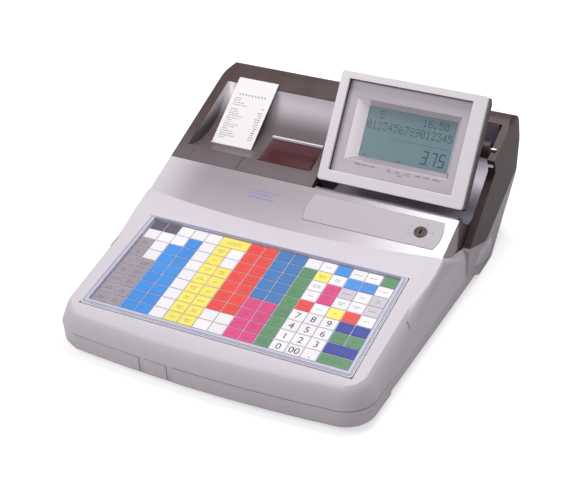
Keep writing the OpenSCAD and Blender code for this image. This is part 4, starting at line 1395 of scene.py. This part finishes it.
    def ear(self, sign: int, columns: int = 9, steps: int = 14) -> None:
        """Builds the ear at one end of the rim.

        Args:
            sign: 1 for the right-hand end, -1 for the left-hand end.
            columns: points across the ear.
            steps: points along it.
        """
        start, peak = self.section(self.fascia_end, 1.0)
        inner = self.fascia_end + self.end_gap
        rim_high, rim_back, rim_out = self.rim
        grid: Grid = []
        for i in range(steps + 1):
            behind = self.ear_run * i / steps
            y = start + behind
            crest = peak - self.fall[0] * behind + self.fall[1] * behind ** 2
            grid.append([])
            for j in range(columns + 1):
                x = inner + (self.outer(y) - self.side_gap - inner) * math.sin(math.pi / 2 * j / columns)
                height = crest - self.rounding(x, y, 1.0)
                rise = min(self.rim_from[1], -rim_out * (x - self.rim_from[0]))
                base = rim_high + rise - rim_back * behind
                grid[-1].append((sign * x, y, height, min(base, height) - self.sunk))
        shell("apron_ear_right" if sign > 0 else "apron_ear_left", grid, PALE, "chassis")

    def build(self) -> None:
        """Builds the rim and its two ears."""
        self.sheet()
        self.ear(1)
        self.ear(-1)


@dataclass
class Keyboard(SubAssembly):
    """The flat keyboard: its frame, its keys and what is printed on them."""

    key_layout: Tuple[str, ...] = (
        "DDWWWY-RRKKWWBWWG",
        "WWWBWYWRRKKGYWBBW",
        "AWBBWYWRRKKGWPLWL",
        "AWBBWYYRRKKGWPWWL",
        "AABBWYYRRKKGRWYRW",
        "AABBWYYRRPPGWWWNN",
        "AABBWYYRRPPGWWWGG",
        "AABBWYYWWPPGWWWN-",
        "AABBWYYWWPPGWWWG-",
    )
    pad_rows: Tuple[Tuple[str, ...], ...] = (
        ("7", "8", "9"), ("4", "5", "6"), ("1", "2", "3"), ("0", "00", "."),
    )
    pad_column: int = 12
    pad_row: int = 5
    figure_mm: float = 9.2
    key_top_mm: float = -0.8
    frame_top_mm: float = 2.0
    printed: str = "DAYLPRNG"
    seed: int = 7

    def dress(self) -> None:
        """Gives the frame and the keys their finishes."""
        dress("keyboard_frame", CLEAR_FRAME, edge_mm=0.6)
        dress("keyboard_sheet", SHEET)
        dress("keyboard_backplate", STEEL)
        for name, colour in KEY_COLOURS.items():
            film = KeyPrint(f"key_{name}", colour, roughness=0.45, mottle=0.04, skin=0.03, dust=0.02)
            dress(f"{name}_keys", film, edge_mm=0.12)

    def key_middle(self, row: int, column: int, wide: int) -> Tuple[float, float]:
        """Finds the middle of a key on the deck, in millimetres from the middle of the keys.

        Args:
            row: row from the back.
            column: column from the left.
            wide: how many columns the key takes.

        Returns:
            Its place across and up the deck.
        """
        u = (column + wide / 2 - MACHINE.columns / 2) * MACHINE.pitch_x
        v = (MACHINE.rows / 2 - row - 0.5) * MACHINE.pitch_y
        return u, v

    def build(self) -> None:
        """Prints the number pad, the small unreadable legends and the frame's lines."""
        draw = random.Random(self.seed)
        figures = MarkSheet(MACHINE.deck().place(self.key_top_mm + MARK_LIFT_MM))
        legends = MarkSheet(MACHINE.deck().place(self.key_top_mm + MARK_LIFT_MM))
        for row, line in enumerate(self.key_layout):
            for column, code in enumerate(line):
                if code == "-":
                    continue
                wide = 2 if line[column + 1 : column + 2] == "-" else 1
                u, v = self.key_middle(row, column, wide)
                pad = (row - self.pad_row, column - self.pad_column)
                if 0 <= pad[0] < len(self.pad_rows) and 0 <= pad[1] < len(self.pad_rows[0]):
                    figures.number(self.pad_rows[pad[0]][pad[1]], u, v, self.figure_mm)
                elif code in self.printed or (code == "W" and column >= self.pad_column):
                    self.legend(legends, draw, u, v, wide)
        figures.build("key_figures", INK, "chassis", "key_sheet")
        legends.build("key_legends", SOFT_INK, "chassis", "key_sheet")
        self.border()

    def legend(self, sheet: MarkSheet, draw: random.Random, u: float, v: float, wide: int) -> None:
        """Adds one or two short rows of unreadable print to a key.

        Args:
            sheet: where the marks go.
            draw: source of chance.
            u: the key's middle across.
            v: the key's middle up the deck.
            wide: how many columns the key takes.
        """
        row_step, stroke, letter = 3.0, 1.3, 1.5
        widths, heights = (0.5, 1.05), (0.7 * stroke, stroke)
        rows = draw.choice((1, 2))
        for i in range(rows):
            letters = draw.randint(4, 7) * wide
            left = u - letters * letter / 2
            base = v + (rows - 1) * row_step / 2 - i * row_step - stroke / 2
            sheet.word(draw, left, base, letters, letter, widths, heights)

    def border(self) -> None:
        """Draws the two blue lines that run round the clear frame."""
        sheet = MarkSheet(MACHINE.deck().place(self.frame_top_mm + MARK_LIFT_MM))
        half_w = MACHINE.columns * MACHINE.pitch_x / 2
        half_l = MACHINE.rows * MACHINE.pitch_y / 2
        gap, inset, rear_inset = 1.2, 4.0, 3.6
        inner_line = (gap, gap, gap, 0.7)
        outer_line = (
            MACHINE.frame_side - inset, MACHINE.frame_front - inset, MACHINE.frame_rear - rear_inset, 0.8,
        )
        for out_side, out_front, out_rear, width in (inner_line, outer_line):
            left, right = -half_w - out_side, half_w + out_side
            low, high = -half_l - out_front, half_l + out_rear
            sheet.stroke([(left, low), (right, low)], width)
            sheet.stroke([(right, low + width), (right, high - width)], width)
            sheet.stroke([(right, high), (left, high)], width)
            sheet.stroke([(left, high - width), (left, low + width)], width)
        sheet.build("frame_lines", BORDER_INK, "chassis", "clear_frame")


@dataclass
class Fascia(SubAssembly):
    """The silver fascia, the mode panel and the lock."""

    lock_mm: Tuple[float, float] = (158.0, 52.5)
    dial_deg: Tuple[float, ...] = (226.0, 203.0, 180.0, 155.0, 118.0, 72.0, 45.0, 8.0)
    tick_mm: float = 10.4
    dot_mm: float = 0.5
    label_mm: float = 14.6
    figure_mm: float = 2.6
    panel_top_mm: float = 0.5
    note_mm: Tuple[float, float] = (-70.0, 58.0)
    note_letters: Tuple[int, ...] = (19, 15, 16)
    seed: int = 11

    def dress(self) -> None:
        """Gives the fascia its finishes."""
        dress("front_fascia", SILVER, edge_mm=0.8)
        dress("mode_panel", MODE_PANEL, edge_mm=0.3)
        dress("lock_barrel", BLACK, edge_mm=0.4)
        dress("lock_rotor", LOCK_METAL, edge_mm=0.2)

    def build(self) -> None:
        """Prints the lock's dial and the small blue rows on the fascia."""
        dial = MarkSheet(MACHINE.upper_slope().place(self.panel_top_mm + MARK_LIFT_MM))
        lock_u, lock_v = self.lock_mm
        for count, degrees in enumerate(self.dial_deg, start=1):
            angle = math.radians(degrees)
            across, up = math.cos(angle), math.sin(angle)
            dial.disc(lock_u + self.tick_mm * across, lock_v + self.tick_mm * up, self.dot_mm)
            label_u, label_v = lock_u + self.label_mm * across, lock_v + self.label_mm * up
            dial.number(str(count), label_u, label_v, self.figure_mm)
        dial.build("dial_marks", SOFT_INK, "chassis", "silver_trim")
        note = MarkSheet(MACHINE.upper_slope().place(MARK_LIFT_MM))
        draw = random.Random(self.seed)
        left, top = self.note_mm
        row_step, row_shift, letter = 5.6, 0.8, 2.2
        stroke, lean, heights = 1.2, 0.5, (1.6, 2.4)
        for row, letters in enumerate(self.note_letters):
            for k in range(letters):
                u = left + row * row_shift + k * letter
                note.bar(u, top - row * row_step, stroke, draw.uniform(*heights), lean)
        note.build("fascia_note", BLUE_INK, "chassis", "silver_trim")


@dataclass
class PrinterTop(SubAssembly):
    """The lift-up cover with its paper chute, and the strip that leans back out of its slot."""

    strip_width_mm: float = 58.0
    strip_len_mm: float = 104.0
    paper_mm: float = 0.4
    ink_mm: float = 0.03
    ink_lift_mm: float = 0.02
    stars_at: float = 0.76
    rows_at: Tuple[float, float] = (0.07, 0.69)
    margin_mm: float = 6.0
    seed: int = 3

    def dress(self) -> None:
        """Gives the cover and the strip their finishes."""
        dress("printer_cover", SCOOPED, edge_mm=0.9)
        dress("journal_window", PANE)
        # The tear bar's pale tone is partly a painted highlight along the window's lip.
        dress("tear_bar", BRIGHT_TRIM)
        dress("receipt_strip", PAPER)

    def strip_place(self) -> Place:
        """Gives the function that sets marks on the strip's upper side.

        Returns:
            A function from millimetres, up from the strip's foot, to a point in metres.
        """
        low, high = (Vector(corner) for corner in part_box("receipt_strip"))
        size = high - low
        edge = math.atan2(self.paper_mm, self.strip_len_mm)
        lean = math.asin(size.z / MM / math.hypot(self.strip_len_mm, self.paper_mm)) - edge
        along = Vector((0.0, math.cos(lean), math.sin(lean)))
        out = Vector((0.0, -math.sin(lean), math.cos(lean)))
        foot = Vector(((low.x + high.x) / 2, low.y, low.z + self.paper_mm * MM * math.cos(lean)))
        lift = self.ink_lift_mm
        return lambda u, v, w: foot + Vector((u * MM, 0.0, 0.0)) + along * v * MM + out * (w + lift) * MM

    def build(self) -> None:
        """Prints the strip with stars and unreadable rows."""
        sheet = MarkSheet(self.strip_place(), self.ink_mm)
        draw = random.Random(self.seed)
        half = self.strip_width_mm / 2
        stars, star_step, star_reach = 9, 4.6, 1.7
        for k in range(stars):
            self.star(sheet, (k - stars // 2) * star_step, self.stars_at * self.strip_len_mm, star_reach)
        row, step, letter = self.rows_at[1] * self.strip_len_mm, 3.4, 1.55
        left, right = self.margin_mm - half, half - self.margin_mm
        price_chance, gap_chance = 0.8, 0.12
        while row > self.rows_at[0] * self.strip_len_mm:
            sheet.word(draw, left, row, draw.randint(4, 15), letter, (0.5, 1.1), (0.9, 1.5))
            if draw.random() < price_chance:
                for k in range(draw.randint(3, 5)):
                    sheet.bar(right - k * letter, row, draw.uniform(0.6, 1.1), 1.5)
            row -= step * (2 if draw.random() < gap_chance else 1)
        sheet.build("strip_print", SOFT_INK, "cover", "paper")

    @staticmethod
    def star(sheet: MarkSheet, u: float, v: float, reach: float) -> None:
        """Adds a six-armed star.

        Args:
            sheet: where it goes.
            u: middle across.
            v: middle up.
            reach: length of the arms.
        """
        arms, waist = 6, 0.4
        points = []
        for i in range(2 * arms):
            radius = reach if i % 2 == 0 else reach * waist
            angle = math.pi * i / arms
            points.append((u + radius * math.cos(angle), v + radius * math.sin(angle)))
        sheet.patch(points)


@dataclass
class PrinterWorks(SubAssembly):
    """The mechanism and the rolls under the cover."""

    def dress(self) -> None:
        """Gives the mechanism its finishes."""
        for node in ("printer_frame", "receipt_motor", "journal_motor", "roll_spindle", "cover_hinge_pins"):
            dress(node, STEEL)
        for node in ("receipt_platen", "journal_platen"):
            dress(node, RUBBER)
        for node in ("receipt_pinion", "journal_pinion", "take_up_spool"):
            dress(node, MILKY)
        for node in ("journal_paper", "receipt_web", "receipt_roll", "journal_roll"):
            dress(node, PAPER)
        dress("thermal_heads", ALUMINIUM)
        dress("paper_bin", BLACK, edge_mm=0.5)


@dataclass
class RearHousing(SubAssembly):
    """The dark rear housing with its sockets and the customer's window."""

    def dress(self) -> None:
        """Gives the housing its finishes."""
        dress("rear_case", HOUSING, edge_mm=1.2)
        dress("display_cradle", CRADLE, edge_mm=0.6)
        dress("connector_panel", BLACK, edge_mm=0.3)
        dress("cord_gland", BLACK, edge_mm=0.5)
        dress("customer_window", PANE)
        dress("customer_board", BOARD)
        dress("display_shaft", STEEL)


@dataclass
class OperatorDisplay(SubAssembly):
    """The tilting display with its screen characters."""

    screen_mm: Tuple[float, float, float, float] = (41.0, 39.3, 114.5, 63.0)
    screen_depth_mm: float = 15.0
    panel_depth_mm: float = 7.0
    legend_rows_mm: Tuple[float, float] = (27.8, 23.4)
    top_row: str = "  5       16.50 "
    code_row: str = "0123456789012345"
    total: str = "375"
    figure_mm: Tuple[float, float] = (8.2, 17.0)
    legend_words: Tuple[Tuple[float, int], ...] = (
        (42.0, 5), (50.0, 6), (60.0, 6), (84.0, 3), (96.0, 3), (108.0, 4), (120.0, 6), (131.0, 6), (142.0, 8),
    )
    lower_word: Tuple[float, int] = (98.0, 4)
    bracket_mm: Tuple[float, float] = (84.0, 113.0)
    seed: int = 5
    glyphs: Dict[str, Tuple[int, ...]] = field(
        default_factory=lambda: {
            "0": (14, 17, 19, 21, 25, 17, 14), "1": (4, 12, 4, 4, 4, 4, 14),
            "2": (14, 17, 1, 2, 4, 8, 31), "3": (31, 2, 4, 2, 1, 17, 14),
            "4": (2, 6, 10, 18, 31, 2, 2), "5": (31, 16, 30, 1, 1, 17, 14),
            "6": (6, 8, 16, 30, 17, 17, 14), "7": (31, 1, 2, 4, 8, 8, 8),
            "8": (14, 17, 17, 14, 17, 17, 14), "9": (14, 17, 17, 15, 1, 2, 12),
            ".": (0, 0, 0, 0, 0, 12, 12), " ": (0,) * 7,
        }
    )
    segments: Dict[str, str] = field(
        default_factory=lambda: {
            "0": "abcdef", "1": "bc", "2": "abged", "3": "abgcd", "4": "fgbc",
            "5": "afgcd", "6": "afgedc", "7": "abc", "8": "abcdefg", "9": "abcdfg",
        }
    )

    def dress(self) -> None:
        """Gives the display its finishes."""
        dress("display_bezel", DISPLAY_SILVER, edge_mm=0.9)
        dress("display_mask", DISPLAY_PANEL, edge_mm=0.3)
        dress("lcd_panel", SCREEN)
        dress("display_back", DARK, edge_mm=1.0)
        dress("display_board", BOARD)

    def dot_row(self, sheet: MarkSheet, text: str, base: float, height: float) -> None:
        """Draws a row of figures as dots.

        Args:
            sheet: where they go.
            text: the figures.
            base: bottom of the row.
            height: height of the figures.
        """
        left, _, width, _ = self.screen_mm
        margin, cell_dots, fill = 1.6, 6.2, 0.86
        rows, columns = 7, 5
        cell = (width - 2 * margin) / len(text)
        dot_u, dot_v = cell / cell_dots, height / rows
        for place, figure in enumerate(text):
            for line, bits in enumerate(self.glyphs[figure]):
                for column in range(columns):
                    if bits >> (columns - 1 - column) & 1:
                        u = left + margin + place * cell + column * dot_u
                        sheet.bar(u, base + (rows - 1 - line) * dot_v, dot_u * fill, dot_v * fill)

    def segment_figure(self, sheet: MarkSheet, figure: str, u: float, v: float) -> None:
        """Draws one large figure of leaning segments.

        Args:
            sheet: where it goes.
            figure: a digit.
            u: left side.
            v: bottom.
        """
        width, height = self.figure_mm
        thick, lean, gap = 1.7, 0.12, 0.4
        half, inset = height / 2, thick * 0.6
        across, tall = width - 2 * inset, half - 2 * gap
        spots = {
            "a": (inset, height - thick, across, thick),
            "b": (width - thick, half + gap, thick, tall),
            "c": (width - thick, gap, thick, tall),
            "d": (inset, 0.0, across, thick),
            "e": (0.0, gap, thick, tall),
            "f": (0.0, half + gap, thick, tall),
            "g": (inset, half - thick / 2, across, thick),
        }
        for name in self.segments[figure]:
            du, dv, w, h = spots[name]
            sheet.bar(u + du + lean * dv, v + dv, w, h, lean * h)

    def build(self) -> None:
        """Draws the screen's figures and the small marks below it."""
        self.figures()
        self.legend()

    def figures(self) -> None:
        """Draws two rows of dots, a line, the large figures and two pointers."""
        left, low, width, height = self.screen_mm
        screen = MarkSheet(MACHINE.display().place(-self.screen_depth_mm + MARK_LIFT_MM))
        for text, drop, tall in ((self.top_row, 13.0, 10.0), (self.code_row, 27.0, 10.5)):
            self.dot_row(screen, text, low + height - drop, tall)
        line_left, line_right, line_high, line_width = left + 34.0, left + width - 3.0, low + 28.0, 0.35
        screen.stroke([(line_left, line_high), (line_right, line_high)], line_width)
        step, margin, base = 11.0, 4.0, low + 5.0
        start = left + width - margin - step * len(self.total)
        for place, figure in enumerate(self.total):
            self.segment_figure(screen, figure, start + place * step, base)
        point_left, point_up, point_radius = 1.2, 0.6, 0.9
        screen.disc(start + step - point_left, base + point_up, point_radius)
        tip, top, half = low + 1.2, low + 3.4, 2.0
        for u in (left + 5.0, left + 50.0):
            screen.patch([(u, top), (u + half, tip), (u + 2 * half, top)])
        screen.build("screen_figures", SCREEN_INK, "display", "lcd")

    def legend(self) -> None:
        """Draws small unreadable words and a bracket on the panel below the screen."""
        sheet = MarkSheet(MACHINE.display().place(-self.panel_depth_mm + MARK_LIFT_MM))
        draw = random.Random(self.seed)
        letter, widths, heights = 1.35, (0.5, 1.0), (1.0, 1.5)
        upper, lower = self.legend_rows_mm
        words = [(u, letters, upper) for u, letters in self.legend_words]
        words.append((*self.lower_word, lower))
        for start, letters, v in words:
            sheet.word(draw, start, v, letters, letter, widths, heights)
        top, foot, line_width = upper - 0.4, upper - 1.4, 0.25
        left, right = self.bracket_mm
        sheet.stroke([(left, top), (left, foot), (right, foot), (right, top)], line_width)
        sheet.build("screen_legend", INK, "display", "display_panel")


@dataclass
class Studio:
    """Floor, lights and camera."""

    focal_px: float = 1270.0
    frame_px: Tuple[int, int] = (580, 500)
    eye_m: Tuple[float, float, float] = (0.57172, -1.22355, 0.86889)
    pitch_deg: float = 58.619
    yaw_deg: float = 25.375
    sensor_mm: float = 36.0
    floor_m: float = 12.0
    floor_shade: float = 0.60
    floor_glow: float = 0.62
    surround: float = 0.30
    backdrop: float = 0.70
    aim_m: Tuple[float, float, float] = (0.0, 0.0, 0.1)

    def camera(self) -> None:
        """Sets the camera where the photograph was taken from."""
        data = bpy.data.cameras.new("camera")
        data.sensor_width = self.sensor_mm
        data.lens = self.focal_px * data.sensor_width / self.frame_px[0]
        eye = bpy.data.objects.new("camera", data)
        eye.location = self.eye_m
        eye.rotation_euler = (math.radians(self.pitch_deg), 0.0, math.radians(self.yaw_deg))
        bpy.context.scene.collection.objects.link(eye)
        bpy.context.scene.camera = eye

    def floor(self) -> None:
        """Lays the pale floor."""
        mesh = bpy.data.meshes.new("floor")
        grid = bmesh.new()
        bmesh.ops.create_grid(grid, x_segments=1, y_segments=1, size=self.floor_m / 2)
        grid.to_mesh(mesh)
        grid.free()
        floor = bpy.data.objects.new("floor", mesh)
        bpy.context.scene.collection.objects.link(floor)
        material = bpy.data.materials.new("floor")
        material.use_nodes = True
        wiring = Wiring(material.node_tree)
        shader = material.node_tree.nodes["Principled BSDF"]
        shader.inputs["Base Color"].default_value = (*(self.floor_shade,) * 3, 1.0)
        shader.inputs["Roughness"].default_value = 0.9
        shader.inputs["Emission Color"].default_value = (1.0, 1.0, 1.0, 1.0)
        camera_ray = wiring.add("ShaderNodeLightPath").outputs["Is Camera Ray"]
        wiring.link(wiring.scaled(camera_ray, self.floor_glow), shader.inputs["Emission Strength"])
        mesh.materials.append(material)

    def world(self) -> None:
        """Sets an even studio surround with a white background."""
        world = bpy.data.worlds.new("studio")
        bpy.context.scene.world = world
        world.use_nodes = True
        wiring = Wiring(world.node_tree)
        shade = world.node_tree.nodes["Background"]
        shade.inputs["Color"].default_value = (1.0, 0.985, 1.0, 1.0)
        camera_ray = wiring.add("ShaderNodeLightPath").outputs["Is Camera Ray"]
        strength = wiring.calc("ADD", wiring.scaled(camera_ray, self.backdrop), self.surround)
        wiring.link(strength, shade.inputs["Strength"])

    def lamp(self, name: str, spot: Tuple[float, float, float], size: float, watts: float) -> None:
        """Hangs a soft lamp that looks at the machine.

        Args:
            name: the lamp's name.
            spot: where it hangs.
            size: width of its face.
            watts: its power.
        """
        data = bpy.data.lights.new(name, "AREA")
        data.shape = "SQUARE"
        data.size = size
        data.energy = watts
        lamp = bpy.data.objects.new(name, data)
        lamp.location = spot
        aim = Vector(self.aim_m) - Vector(spot)
        lamp.rotation_euler = aim.to_track_quat("-Z", "Y").to_euler()
        bpy.context.scene.collection.objects.link(lamp)

    def build(self) -> None:
        """Sets up the whole studio."""
        self.camera()
        self.floor()
        self.world()
        self.lamp("overhead", spot=(0.10, 0.50, 2.0), size=0.9, watts=28.0)
        self.lamp("left_fill", spot=(-1.4, -1.2, 1.6), size=1.3, watts=20.0)
        bpy.context.scene.view_settings.view_transform = "Standard"


def main() -> None:
    """Builds the studio and dresses each sub-assembly in order."""
    logging.basicConfig(level=logging.INFO, format="%(name)s: %(message)s")
    Studio().build()
    assemblies: Tuple[SubAssembly, ...] = (
        LowerCase(), Keyboard(), Fascia(), PrinterTop(), PrinterWorks(), RearHousing(), OperatorDisplay(),
    )
    for assembly in assemblies:
        assembly.dress()
        assembly.build()
        LOG.info("finished %s", type(assembly).__name__)


if __name__ == "__main__":
    main()
